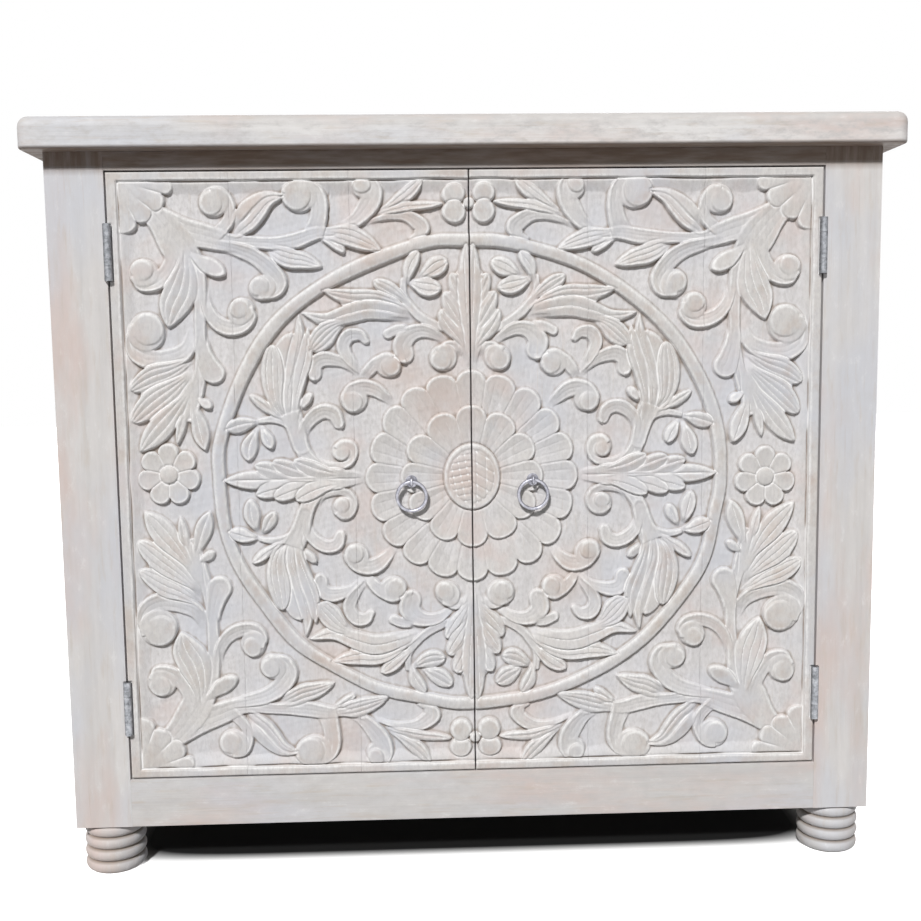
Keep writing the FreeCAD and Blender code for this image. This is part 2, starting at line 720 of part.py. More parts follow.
strike_hole = strike_screw("strike_hole", "screw_fit")
left_strike = node(
    cut("left_catch_strike",
        box("left_strike_plate", ("strike_length", "strike_thickness", "strike_height"),
            ("-catch_offset - strike_length / 2", "door_back",
             "catch_base + catch_height / 2 - strike_height / 2")),
        [strike_hole]),
    "left_catch_strike")
node(mirror("right_catch_strike", left_strike), "right_catch_strike")
left_strike_screw = node(strike_screw("left_strike_screw"), "left_strike_screw")
node(mirror("right_strike_screw", left_strike_screw), "right_strike_screw")


# Carved main forms: the oval band, two rows of petals round a button, and a side flower.
def oval(name, shrink):
    """An upright oval block as high as the band, smaller than the medallion by a shrink."""
    outline = doc.addObject("Part::Ellipse", name + "_outline")
    half_width = f"medallion_half_width - {shrink}"
    half_height = f"medallion_half_height - {shrink}"
    wide = sizes.medallion_half_width >= sizes.medallion_half_height
    major, minor = (half_width, half_height) if wide else (half_height, half_width)
    bind(outline, MajorRadius=major, MinorRadius=minor)
    put(outline, ("0", "carcass_front + medallion_recess", "door_middle"), "y")
    if not wide:
        quarter_turn = FreeCAD.Rotation(FreeCAD.Vector(0, 1, 0), 90)
        outline.Placement.Rotation = quarter_turn.multiply(TURNS["y"])
    block = doc.addObject("Part::Extrusion", name)
    block.Base = outline
    block.DirMode = "Custom"
    block.Dir = FreeCAD.Vector(0, 1, 0)
    block.Solid = True
    bind(block, LengthFwd="relief_depth - medallion_recess")
    return block


def petal_row(name, petals, middle, circle, radius, recess):
    """A disc with round petals along its rim; only petals that reach the left door are made."""
    across, height = middle
    depth = f"carcass_front + {recess}"
    length = f"relief_depth - {recess}"
    pieces = [rod(name + "_disc", circle, length, (across, depth, height), "y")]
    for number in range(petals):
        angle = (90 + 360 * number / petals) % 360
        if across == "0" and (angle < 90 or angle > 270):
            continue
        start = (f"{across} + {circle} * cos({angle} deg)", depth,
                 f"{height} + {circle} * sin({angle} deg)")
        pieces.append(rod(f"{name}_petal_{number}", radius, length, start, "y"))
    return fuse(name, pieces)


middle = ("0", "door_middle")
band = cut("medallion_band", oval("medallion_outside", "0"), [oval("medallion_inside", "medallion_band")])
outer_petals = petal_row("outer_petals", OUTER_PETALS, middle, "outer_petal_circle", "outer_petal_radius",
                         "outer_petal_recess")
inner_petals = petal_row("inner_petals", INNER_PETALS, middle, "inner_petal_circle", "inner_petal_radius",
                         "inner_petal_recess")
button = rod("rosette_button", "button_radius", "relief_depth", ("0", "carcass_front", "door_middle"), "y")
flower = petal_row("side_flower", FLOWER_PETALS, ("-flower_offset", "door_middle"), "flower_petal_circle",
                   "flower_petal_radius", "flower_recess")
carved_field = box("carved_field",
                   ("door_width - side_border", "relief_depth", "door_height - 2 * end_border"),
                   ("side_border - door_edge", "carcass_front", "door_base + end_border"))
relief = common("left_relief", fuse("whole_relief", [band, outer_petals, inner_petals, button, flower]),
                carved_field)

# Doors: a board with its field sunk to the ground, the relief left standing, and cuts for the fittings.
door_board = box("left_door_board", ("door_width", "door_thickness", "door_height"),
                 ("-door_edge", "carcass_front", "door_base"))
sunk_board = cut("left_sunk_board", door_board, [carved_field])
carved_board = fuse("left_carved_board", [sunk_board, relief])
shank_hole = rod("left_shank_hole", "shank_radius + shank_fit", "door_thickness",
                 ("-pull_offset", "carcass_front", "pull_height"), "y")
collar_seat = rod("left_collar_seat", "collar_radius + shank_fit", "outer_petal_recess",
                  ("-pull_offset", "carcass_front", "pull_height"), "y")
left_door = node(cut("left_door_panel", carved_board, door_cuts + [strike_hole, shank_hole, collar_seat]),
                 "left_door_panel")
node(mirror("right_door_panel", left_door), "right_door_panel")

# Ring pulls: an eye on a shank, with a collar in front, a washer and a nut behind, and the ring.
left_eye = fuse("left_pull_eye", [
    ring("left_eye_loop", "eye_radius", "eye_wire_radius",
         ("-pull_offset", "pull_axis", "pull_height"), "x"),
    rod("left_eye_shank", "shank_radius", "shank_length",
        ("-pull_offset", "pull_axis + eye_radius", "pull_height"), "y")])
fit_hole = rod("left_fitting_hole", "shank_radius + shank_fit", "shank_length + eye_radius",
               ("-pull_offset", "pull_axis", "pull_height"), "y")
left_collar = cut("left_pull_collar",
                  rod("left_collar_disc", "collar_radius", "collar_thickness",
                      ("-pull_offset", "collar_back - collar_thickness", "pull_height"), "y"), [fit_hole])
left_washer = cut("left_pull_washer",
                  rod("left_washer_disc", "washer_radius", "washer_thickness",
                      ("-pull_offset", "door_back", "pull_height"), "y"), [fit_hole])
nut_blank = doc.addObject("Part::Prism", "left_nut_blank")
nut_blank.Polygon = 6
bind(nut_blank, Circumradius="nut_radius", Height="nut_height")
put(nut_blank, ("-pull_offset", "door_back + washer_thickness", "pull_height"), "y")
left_nut = cut("left_pull_nut", nut_blank, [fit_hole])
left_ring = ring("left_pull_ring", "ring_radius", "ring_wire_radius",
                 ("-pull_offset", "pull_axis", "pull_height - ring_radius"), "y")
for piece in (left_eye, left_collar, left_washer, left_nut, left_ring):
    left_name = piece.Name
    right_name = left_name.replace("left", "right")
    node(piece, left_name)
    node(mirror(right_name, piece), right_name)

doc.recompute()

# Every object must have been made without an error before anything is written.
for made in doc.Objects:
    if "Invalid" in made.State or "Error" in made.State:
        raise RuntimeError(f"{made.Name} could not be made: {made.State}")
os.makedirs("parts", exist_ok=True)
for piece in nodes:
    shape = piece.Shape
    if shape.isNull() or not shape.isValid() or shape.Volume <= 0:
        raise RuntimeError(f"{piece.Label} has no sound solid")
    shape.exportStep(f"parts/{piece.Label}.step")
print(len(nodes), "parts written")
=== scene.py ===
import json
import math

import bpy
import numpy as np
from mathutils import Matrix, Vector


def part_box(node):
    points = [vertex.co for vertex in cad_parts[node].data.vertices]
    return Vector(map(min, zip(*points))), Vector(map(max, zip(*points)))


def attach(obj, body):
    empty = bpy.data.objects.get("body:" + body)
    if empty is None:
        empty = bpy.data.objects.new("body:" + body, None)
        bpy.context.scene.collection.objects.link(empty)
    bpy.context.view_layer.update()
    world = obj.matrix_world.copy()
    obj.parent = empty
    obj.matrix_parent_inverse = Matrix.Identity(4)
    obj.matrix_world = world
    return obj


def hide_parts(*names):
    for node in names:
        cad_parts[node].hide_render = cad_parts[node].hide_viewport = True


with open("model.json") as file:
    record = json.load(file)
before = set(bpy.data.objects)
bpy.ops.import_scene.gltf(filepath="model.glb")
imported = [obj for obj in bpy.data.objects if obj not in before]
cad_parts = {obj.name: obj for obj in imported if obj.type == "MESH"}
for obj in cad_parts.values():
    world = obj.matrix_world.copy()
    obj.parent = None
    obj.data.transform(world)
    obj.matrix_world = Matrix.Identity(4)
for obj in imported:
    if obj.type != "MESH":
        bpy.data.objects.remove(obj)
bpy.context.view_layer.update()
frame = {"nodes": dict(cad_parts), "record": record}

MM = 0.001

# The carving is one quarter of the pair of doors, repeated in all four with small hand-made differences.
# u runs from the meeting line outwards and v from the medallion's middle up or down, in millimetres.
# Heights are in millimetres above the sunk ground, before the whole relief is made a little shallower.
CELL = 0.75
REACH_U = 414
REACH_V = 358
FRONT_HEIGHT = 7.0
RELIEF_SHARE = 0.9
MEDALLION_HEIGHT = 474

# How a form stands on what lies under it: a rounded shoulder, a fine cut round it, a root that rises.
SHOULDER_WIDTH = 2.2
SHOULDER_POWER = 2.0
CUT_WIDTH = 1.2
CUT_FADE = 3 * CUT_WIDTH
CUT_DEPTH_SHARE = 0.3
ROOT_SHARE = 0.3

# Stems and curling bands are gouged. The rim is full where the bends add up to BAND_FULL_BEND, in radians.
STEM_HEIGHT = 5.5
STEM_RIM = 0.3
STEM_ROOT_SHARE = 0.02
BAND_HEIGHT = 5.7
BAND_RIM = 1.5
BAND_CUT_SHARE = 0.12
BAND_FULLNESS_SHARE = 1.12
BAND_FULL_BEND = 2.0
BAND_GOUGE = 1.2
BAND_LINE_SHARES = (-0.5, -0.05, 0.45)
BAND_LINE_DEPTH = 0.4
BAND_LINE_WIDTH = 0.7

# Points along the middle of each stem and band as (u, v, width).
STEMS = [
    [(376, 320, 20), (352, 301, 26), (328, 289, 26), (301, 280, 25), (273, 271, 18), (245, 272, 13),
     (222, 273, 14), (200, 276, 17), (178, 282, 15), (152, 284, 9), (128, 289, 8)],
    [(366, 312, 22), (351, 297, 27), (334, 273, 35), (319, 245, 28), (310, 215, 15), (309, 180, 13),
     (310, 150, 13), (314, 120, 14), (322, 95, 18), (326, 75, 14)],
    [(250, 68, 6), (230, 71, 9), (212, 66, 12), (201, 50, 15), (193, 30, 17), (183, 18, 15)],
    [(28, 172, 8), (55, 186, 10), (68, 198, 10), (77, 212, 9), (77, 230, 7)],
    [(210, 80, 24), (204, 64, 22), (198, 40, 18)],
]
BANDS = [
    [(296, 276, 14), (276, 292, 14), (270, 308, 12), (273, 322, 10), (281, 330, 9), (291, 329, 6)],
    [(182, 272, 26), (172, 296, 20), (169, 318, 18), (174, 333, 14), (187, 341, 8), (199, 342, 4)],
    [(300, 272, 8), (268, 264, 14), (247, 257, 17), (231, 246, 19), (219, 230, 18), (221, 217, 14),
     (231, 211, 9), (241, 213, 5)],
    [(306, 226, 10), (302, 204, 12), (292, 187, 15), (275, 178, 16), (258, 178, 14), (248, 188, 10),
     (252, 199, 5)],
    [(334, 276, 18), (339, 252, 19), (348, 236, 19), (360, 226, 16), (374, 225, 12), (381, 236, 6)],
    [(314, 182, 11), (326, 155, 17), (346, 143, 20), (368, 140, 21), (385, 148, 18), (391, 164, 13),
     (384, 180, 7)],
    [(309, 172, 14), (306, 152, 18), (301, 136, 23), (297, 127, 26)],
    [(150, 286, 8), (130, 294, 16), (115, 312, 22), (110, 329, 19), (116, 340, 13), (126, 338, 9)],
    [(126, 288, 4), (101, 297, 7), (84, 301, 10), (70, 301, 14), (58, 294, 17), (53, 286, 18),
     (58, 278, 12), (66, 276, 5)],
    [(90, 82, 6), (100, 92, 13), (112, 101, 17), (125, 104, 17), (139, 100, 14), (146, 89, 5)],
    [(125, 115, 5), (142, 130, 9), (156, 137, 14), (170, 139, 17), (179, 133, 18), (179, 123, 16)],
    [(126, 112, 8), (117, 124, 13), (108, 134, 13), (98, 141, 9), (90, 139, 5)],
    [(24, 155, 6), (40, 167, 11), (56, 172, 15), (70, 168, 19), (78, 157, 22), (76, 146, 22)],
    [(70, 176, 8), (84, 174, 11), (96, 168, 11)],
    [(124, 118, 6), (138, 136, 11), (146, 152, 15), (140, 164, 16), (128, 165, 13), (121, 158, 8)],
    [(197, 50, 10), (190, 67, 13), (180, 77, 15), (169, 81, 15), (159, 77, 15), (155, 67, 12)],
    [(190, 34, 16), (177, 19, 12), (158, 15, 10), (144, 19, 9), (139, 30, 9), (143, 42, 8),
     (153, 46, 6), (161, 40, 5)],
    [(12, 140, 8), (16, 152, 10), (28, 154, 8), (37, 146, 5)],
]

# Round eyes of the curls as (u, v, radius). A band's end winds round its eye and climbs to its level.
EYE_HEIGHT = 6.6
EYE_CROWN = 0.3
EYE_FALL = 0.6
EYE_FALL_POWER = 3
CURL_OFFSET = 4.0
CURL_HEIGHT = 4.4
CURL_CLIMB = math.radians(150)
CURL_POINTS = 4
EYES = [
    (292, 316, 14), (196, 327, 17.5), (241, 223, 12), (262, 199, 12), (372, 243, 13),
    (369, 175, 18.5), (122, 335, 10), (138, 88, 11.5), (92, 130, 12), (34, 137, 12), (153, 31, 9.5),
]

# Leaves are cut by their veins into tilted strips, which keep the leaf's level at STRIP_LEVEL_SHARE.
LEAF_HEIGHT = 6.0
LEAF_RISE = 0.5
LEAF_TILT = 1.0
LEAF_FULLNESS_SHARE = 1.15
LEAF_ROOT_SHARE = 0.25
VEIN_DEPTH = 0.9
VEIN_WIDTH = 0.8
STRIP_TILT = 1.3
STRIP_LEVEL_SHARE = 0.6
ALMOST_NONE_SHARE = 0.001
ALMOST_ALL_SHARE = 0.999

# Kinds of leaves: the share of the length where the leaf is widest, and the power that shapes its tip.
POINTED = {"fullest_share": 0.45, "tip_power": 0.65}
LATE = {"fullest_share": 0.6, "tip_power": 0.75}
BLUNT = {"fullest_share": 0.62, "tip_power": 0.5}

# Leaves: points along the middle from root to tip, greatest width, number of veins, and the kind.
LEAVES = [
    ([(270, 282), (258, 303), (243, 317), (229, 325), (210, 328)], 15, 0, POINTED),
    ([(274, 275), (251, 290), (238, 304), (226, 318), (210, 325)], 14, 1, POINTED),
    ([(322, 264), (302, 249), (281, 237)], 18, 0, BLUNT),
    ([(325, 268), (326, 240), (331, 217), (339, 199), (346, 176)], 33, 3, LATE),
    ([(234, 268), (209, 257), (190, 253), (168, 245)], 21, 3, POINTED),
    ([(172, 278), (153, 270), (142, 260)], 12, 1, BLUNT),
    ([(166, 284), (136, 277), (100, 264)], 21, 3, POINTED),
    ([(108, 303), (92, 311), (78, 321), (66, 331), (52, 345)], 16, 2, BLUNT),
    ([(112, 300), (84, 308), (66, 313), (28, 316)], 11, 1, BLUNT),
    ([(318, 140), (342, 104), (370, 72)], 54, 0, BLUNT),
    ([(318, 146), (345, 129), (367, 119), (390, 104)], 24, 3, BLUNT),
    ([(320, 130), (345, 108), (366, 91), (388, 70)], 24, 3, BLUNT),
    ([(326, 106), (345, 80), (364, 58), (384, 36)], 24, 2, LATE),
    ([(324, 92), (315, 62), (306, 35)], 19, 1, LATE),
    ([(332, 80), (338, 60), (342, 42)], 11, 1, POINTED),
    ([(320, 96), (310, 90), (301, 84)], 11, 0, BLUNT),
    ([(246, 67), (262, 65), (283, 59)], 17, 1, BLUNT),
    ([(249, 62), (256, 43), (260, 21)], 17, 1, BLUNT),
    ([(246, 64), (239, 50), (232, 35)], 14, 1, BLUNT),
    ([(74, 222), (69, 244), (58, 260)], 15, 1, BLUNT),
    ([(62, 228), (46, 238), (26, 249)], 20, 2, BLUNT),
    ([(74, 230), (54, 221), (33, 217)], 19, 2, BLUNT),
    ([(206, 58), (212, 110), (207, 168)], 40, 0, BLUNT),
    ([(216, 70), (236, 82), (258, 99)], 12, 1, BLUNT),
    ([(216, 66), (229, 94), (231, 122), (228, 156)], 24, 3, BLUNT),
    ([(212, 66), (213, 100), (208, 122), (203, 142), (198, 164), (198, 188)], 16, 1, LATE),
    ([(205, 72), (202, 100), (196, 124), (190, 146), (188, 174)], 16, 1, LATE),
    ([(198, 82), (190, 94), (183, 101)], 11, 0, BLUNT),
    ([(62, 188), (104, 202), (150, 206)], 30, 0, BLUNT),
    ([(70, 203), (90, 218), (111, 232)], 17, 2, BLUNT),
    ([(70, 198), (108, 211), (138, 211), (170, 217)], 19, 2, LATE),
    ([(62, 188), (113, 196), (141, 190), (166, 183), (195, 190)], 22, 1, POINTED),
    ([(142, 182), (160, 172), (184, 150)], 25, 4, BLUNT),
    ([(122, 0), (190, 0), (262, 0)], 26, 0, POINTED),
    ([(224, 0), (256, 0), (289, 0)], 19, 0, POINTED),
    ([(198, 5), (225, 9), (253, 16)], 16, 1, BLUNT),
    ([(180, 5), (205, 11), (232, 20)], 16, 1, BLUNT),
    ([(152, 5), (180, 11), (207, 23)], 17, 1, BLUNT),
    ([(0, 122), (0, 178), (2, 246)], 44, 0, BLUNT),
    ([(3, 148), (16, 168), (34, 194)], 20, 2, BLUNT),
    ([(3, 166), (14, 188), (30, 214)], 20, 2, BLUNT),
    ([(2, 190), (10, 212), (22, 235)], 19, 2, BLUNT),
    ([(0, 125), (0, 190), (4, 268)], 22, 2, BLUNT),
]

# The cut along the middle of the level leaf, faded in and out.
MIDRIB_START = 128
MIDRIB_START_FADE = 12
MIDRIB_END = 284
MIDRIB_END_FADE = 20
MIDRIB_DEPTH = 1.6
MIDRIB_WIDTH = 0.9

# The four-lobed flower on the meeting line, as eyes: (u, v, radius, height).
LOBES = [(17, 326, 13.5, 6.2), (17, 305, 14, 6.2), (0, 315, 7, 6.8)]

# The corner shell, with its lobes as (first angle, last angle, radius).
FAN_U = 403
FAN_V = 346
FAN_REACH = 80
FAN_LOBES = [(0, 17, 70), (17, 40, 65), (40, 64, 62), (64, 90, 65)]
FAN_BASE = 4.0
FAN_HEIGHT = 5.2
FAN_RISE = 0.5
FAN_CROWN = 0.4
FAN_CROWN_REACH = 50
FAN_SCALLOP = 9
FAN_CUT_DEPTH = 1.3
FAN_CUT_WIDTH = 1.0
FAN_CUT_START = 30
FAN_CUT_FADE = 20

# The medallion's oval band.
RING_HALF_U = 294
RING_HALF_V = 273
RING_HALF_WIDTH = 8.2
RING_BASE = 3.2
RING_CROWN = 3.6
RING_LEAST_SHARE = 0.01
RING_LEAST_SLOPE = 0.0001

# Petals have a lip at the tip.
# A row is (count, outer radius, inner radius, depth of the scallops, height at the root, height at the tip).
LIP = 1.0
LIP_WIDTH = 2.4
PETAL_ROWS = [(20, 125, 62, 14, 0.8, 5.3), (12, 84, 30, 16, 2.4, 5.9)]
PETAL_RISE_POWER = 1.6
PETAL_DISH = 1.3
PETAL_CUT_DEPTH = 1.6
PETAL_CUT_WIDTH = 0.8
PETAL_SCRATCH_SHARES = (-0.35, 0.3)
PETAL_SCRATCH_DEPTH = 0.5
PETAL_SCRATCH_WIDTH = 0.8
PETAL_SCRATCH_FADE = 14

quarter_u, quarter_v = np.meshgrid(np.arange(0, REACH_U, CELL), np.arange(0, REACH_V, CELL))
EVERYWHERE = (slice(None), slice(None))


def ease(share):
    """A share from 0 to 1 with a gentle start and end."""
    share = np.clip(share, 0, 1)
    return share * share * (3 - 2 * share)


def bell(distance, width):
    return np.exp(-(distance / width) ** 2)


def curve(points, parts=9):
    """A smooth line through points, which may carry a width as well."""
    known = np.array(points, float)
    known = np.vstack([2 * known[0] - known[1], known, 2 * known[-1] - known[-2]])
    spans = len(known) - 3
    line = []
    for place in np.linspace(0, spans, spans * parts + 1):
        span = min(int(place), spans - 1)
        t = place - span
        a, b, c, d = known[span:span + 4]
        line.append(b + 0.5 * t * (c - a + t * (2 * a - 5 * b + 4 * c - d + t * (3 * (b - c) + d - a))))
    return np.array(line)


def window(line, reach):
    """The part of the quarter's grid within reach of a line."""
    margin = reach + CUT_FADE
    low = np.maximum((line[:, :2].min(0) - margin) / CELL, 0).astype(int)
    high = np.maximum((line[:, :2].max(0) + margin) / CELL, 0).astype(int) + 1
    return slice(low[1], high[1]), slice(low[0], high[0])


def nearest(line, where):
    """For each grid point: the distance to the line, the side of it and the share along it.

    The shares along it of the line's own points come last.
    """
    u, v = quarter_u[where], quarter_v[where]
    steps = np.hypot(*np.diff(line[:, :2], axis=0).T)
    shares = np.concatenate([[0], np.cumsum(steps)]) / np.sum(steps)
    gap = np.full(u.shape, np.inf)
    side = np.zeros(u.shape)
    along = np.zeros(u.shape)
    for number in range(len(line) - 1):
        start = line[number, :2]
        step = line[number + 1, :2] - start
        off_u, off_v = u - start[0], v - start[1]
        t = np.clip((off_u * step[0] + off_v * step[1]) / (step @ step), 0, 1)
        distance = np.hypot(off_u - t * step[0], off_v - t * step[1])
        closer = distance < gap
        gap = np.where(closer, distance, gap)
        side = np.where(closer, np.sign(step[0] * off_v - step[1] * off_u), side)
        along = np.where(closer, shares[number] + t * (shares[number + 1] - shares[number]), along)
    return gap, side, along, shares


def lay(height, where, inside, top, rise=1, cut_share=CUT_DEPTH_SHARE):
    """Stand a form on the relief. inside is the distance in from its edge, and a fine cut runs round it."""
    old = height[where]
    base = old * (1 - cut_share * bell(inside, CUT_WIDTH) * rise)
    shoulder = 1 - (1 - np.clip(inside / SHOULDER_WIDTH, 0, 1)) ** SHOULDER_POWER
    height[where] = np.where(inside > 0, base + (top - base) * shoulder * rise, base)


def lay_band(height, points, level, rim, cut_share, root_share=ROOT_SHARE):
    """A gouged band with fine lines along it, which grows out of what it stands on.

    It is higher along the outside of its turn.
    """
    line = curve(points)
    where = window(line, BAND_FULLNESS_SHARE * line[:, 2].max() / 2)
    gap, side, along, shares = nearest(line, where)
    half = np.maximum(BAND_FULLNESS_SHARE * np.interp(along, shares, line[:, 2]) / 2, CELL)
    across = np.clip(gap / half, 0, 1)
    way = np.diff(line[:, :2], axis=0)
    before, after = way[:-1], way[1:]
    turns = before[:, 0] * after[:, 1] - before[:, 1] * after[:, 0]
    bends = np.arctan2(turns, np.sum(before * after, axis=1))
    outwards = -side * np.clip(np.sum(bends) / BAND_FULL_BEND, -1, 1)
    top = level + rim * outwards * across - BAND_GOUGE * (1 - across ** 2)
    for place in BAND_LINE_SHARES:
        top = top - BAND_LINE_DEPTH * bell((side * across - place) * half, BAND_LINE_WIDTH)
    lay(height, where, half - gap, top, ease(along / root_share), cut_share)


def lay_eye(height, u, v, radius, level, cut_share=CUT_DEPTH_SHARE):
    """A low round button."""
    where = window(np.array([(u, v)]), radius)
    away = np.hypot(quarter_u[where] - u, quarter_v[where] - v)
    top = level + EYE_CROWN - EYE_FALL * (away / radius) ** EYE_FALL_POWER
    lay(height, where, radius - away, top, 1, cut_share)


def lay_curl(height, u, v, radius):
    """The round end of the nearest band, which winds round the eye and climbs to its level."""
    band = min(BANDS, key=lambda points: math.hypot(points[-1][0] - u, points[-1][1] - v))
    (last_u, last_v), (end_u, end_v) = [(point[0] - u, point[1] - v) for point in band[-2:]]
    winding = math.copysign(1, last_u * end_v - last_v * end_u)
    turn_u, turn_v = np.mean(band[-CURL_POINTS:], axis=0)[:2] - (u, v)
    shift = CURL_OFFSET / math.hypot(turn_u, turn_v)
    centre = np.array([(u + shift * turn_u, v + shift * turn_v)])
    where = window(centre, radius + CURL_OFFSET)
    away = np.hypot(quarter_u[where] - centre[0, 0], quarter_v[where] - centre[0, 1])
    angle = np.arctan2(quarter_v[where] - v, quarter_u[where] - u)
    before_end = (winding * (math.atan2(end_v, end_u) - angle)) % (2 * math.pi)
    climb = 1 - ease(before_end / CURL_CLIMB)
    level = CURL_HEIGHT + (EYE_HEIGHT - CURL_HEIGHT) * climb
    lay(height, where, radius + CURL_OFFSET - away, level, 1, 0)
    lay_eye(height, u, v, radius, EYE_HEIGHT, 0)


def lay_leaf(height, points, width, veins, fullest_share, tip_power):
    """A leaf that rises to its tip, cut by its veins into tilted strips."""
    line = curve(points)
    width = width * LEAF_FULLNESS_SHARE
    where = window(line, width / 2)
    gap, side, along, _ = nearest(line, where)
    within = np.clip(along, ALMOST_NONE_SHARE, ALMOST_ALL_SHARE)
    swell = np.sin(math.pi * within ** (math.log(0.5) / math.log(fullest_share)))
    root = LEAF_ROOT_SHARE + (1 - LEAF_ROOT_SHARE) * swell
    half = width / 2 * np.where(along < fullest_share, root, swell ** tip_power)
    across = side * gap / np.maximum(half, CELL / 2)
    top = LEAF_HEIGHT + LEAF_RISE * along + LEAF_TILT * across
    for vein in range(veins):
        place = 2 * (vein + 1) / (veins + 1) - 1
        top = top - VEIN_DEPTH * bell((across - place) * half, VEIN_WIDTH)
    strip = np.clip((across + 1) / 2 * (veins + 1), 0, veins + ALMOST_ALL_SHARE) % 1
    top = top + STRIP_TILT * (strip - STRIP_LEVEL_SHARE)
    lay(height, where, half - gap, top, ease(along / ROOT_SHARE))


def lay_midrib(height):
    """The cut along the middle of the level leaf."""
    start = ease((quarter_u - MIDRIB_START) / MIDRIB_START_FADE)
    end = ease((MIDRIB_END - quarter_u) / MIDRIB_END_FADE)
    height -= MIDRIB_DEPTH * bell(quarter_v, MIDRIB_WIDTH) * (start * end)


def rounded(turn):
    """How far a lobe's round edge has come, from 1 in its middle to 0 at its sides."""
    return np.sqrt(np.clip(1 - turn ** 2, 0, 1))


def scallops(u, v, count, outer, scallop):
    """A form with a scalloped edge round a centre.

    For each point: the distance in from the edge, the place across its lobe from -1 to 1, the gap to the
    lobe's side, and the distance from the centre.
    """
    away = np.hypot(u, v)
    half_pitch = math.pi / count
    turn = ((np.arctan2(u, v) + half_pitch) % (2 * half_pitch)) / half_pitch - 1
    edge = outer - scallop * (1 - rounded(turn))
    return edge - away, turn, (1 - np.abs(turn)) * away * half_pitch, away


def lay_petals(height, count, outer, inner, scallop, low, high):
    """A row of petals round the medallion's middle, dished, rising to their tips and scratched lengthwise."""
    where = window(np.array([(0, 0)]), outer)
    inside, turn, side_gap, away = scallops(quarter_u[where], quarter_v[where], count, outer, scallop)
    share = np.clip((away - inner) / (outer - inner), 0, 1)
    top = low + (high - low) * share ** PETAL_RISE_POWER
    top = top + LIP * bell(inside, LIP_WIDTH) + PETAL_DISH * turn ** 2
    top = top - PETAL_CUT_DEPTH * bell(side_gap, PETAL_CUT_WIDTH)
    half_pitch = math.pi / count
    fade = ease(inside / PETAL_SCRATCH_FADE)
    for place in PETAL_SCRATCH_SHARES:
        across = (turn - place) * away * half_pitch
        top = top - PETAL_SCRATCH_DEPTH * bell(across, PETAL_SCRATCH_WIDTH) * fade
    lay(height, where, inside, top)


def lay_fan(height):
    """The quarter shell in each corner, with four unequal lobes."""
    where = window(np.array([(FAN_U, FAN_V)]), FAN_REACH)
    u, v = FAN_U - quarter_u[where], FAN_V - quarter_v[where]
    away = np.hypot(u, v)
    angle = np.degrees(np.arctan2(v, u))
    edge = np.zeros(u.shape)
    top = np.full(u.shape, FAN_BASE)
    fade = ease((away - FAN_CUT_START) / FAN_CUT_FADE)
    for start, end, radius in FAN_LOBES:
        turn = (2 * angle - start - end) / (end - start)
        half_pitch = math.radians(end - start) / 2
        within = np.abs(turn) <= 1
        groove = FAN_CUT_DEPTH * bell((1 - np.abs(turn)) * away * half_pitch, FAN_CUT_WIDTH) * fade
        crown = FAN_CROWN * turn ** 2 * ease(away / FAN_CROWN_REACH)
        lobe_top = FAN_HEIGHT + FAN_RISE * np.clip(away / radius, 0, 1) - crown - groove
        edge = np.where(within, radius - FAN_SCALLOP * (1 - rounded(turn)), edge)
        top = np.where(within, lobe_top, top)
    lay(height, where, edge - away, top)


def lay_ring(height):
    """The half-round oval band of the medallion."""
    away = np.hypot(quarter_u / RING_HALF_U, quarter_v / RING_HALF_V)
    slope = np.hypot(quarter_u / RING_HALF_U ** 2, quarter_v / RING_HALF_V ** 2)
    slope = slope / np.maximum(away, RING_LEAST_SHARE)
    gap = np.abs(away - 1) / np.maximum(slope, RING_LEAST_SLOPE)
    top = RING_BASE + RING_CROWN * rounded(gap / RING_HALF_WIDTH)
    lay(height, EVERYWHERE, RING_HALF_WIDTH - gap, top)


def carve_quarter():
    """The quarter's heights, from the lowest forms to the highest."""
    height = np.zeros(quarter_u.shape)
    for points in STEMS:
        lay_band(height, points, STEM_HEIGHT, STEM_RIM, 0, STEM_ROOT_SHARE)
    lay_fan(height)
    for points in BANDS:
        lay_band(height, points, BAND_HEIGHT, BAND_RIM, BAND_CUT_SHARE)
    for u, v, radius in EYES:
        lay_curl(height, u, v, radius)
    lay_ring(height)
    for points, width, veins, kind in LEAVES:
        lay_leaf(height, points, width, veins, **kind)
    for u, v, radius, level in LOBES:
        lay_eye(height, u, v, radius, level)
    lay_midrib(height)
    for row in PETAL_ROWS:
        lay_petals(height, *row)
    return height


# Doors, each of three closed boards with the carving on their fronts, in millimetres.
DOOR_GRID = 1.0
DOOR_SEEDS = {"left": 11, "right": 47}
BOARD_JOINTS = (137, 273)
JOINT_DEPTH = 0.1
JOINT_WIDTH = 0.7
JOINT_LENGTH = 120
EDGE_SET_IN = 0.1
MEETING_REACH = 0.25
EDGE_DROP = 0.6
EDGE_WIDTH = 1.0
HOLLOW_ROUNDS = 18

# The border round each door.
BORDER_SIDE = 12
BORDER_END = 10
BORDER_SWAY = 0.5
BORDER_SLOPE = 20
BORDER_SLOPE_RISE = 4.6
BORDER_CUT = 3.4
BORDER_CUT_OFFSET = 0.5
BORDER_CUT_WIDTH = 0.9
BORDER_CUT_SHARE = 0.6
BORDER_CUT_LENGTH = 70
BORDER_DROP = 0.15
BORDER_WAVE = 0.12
BORDER_WAVE_LENGTH = 80

# Seats for the pull and the hinges.
PULL_U, PULL_V = 71, -4
PULL_SEAT_RADIUS = 9.5
PULL_SEAT_SLOPE = 2
PULL_SEAT_HEIGHT = 5.0
HINGE_ZS = (737, 206)
HINGE_HALF = 32.5
NOTCH_WIDTH = 4.7
NOTCH_HEIGHT = 4.6

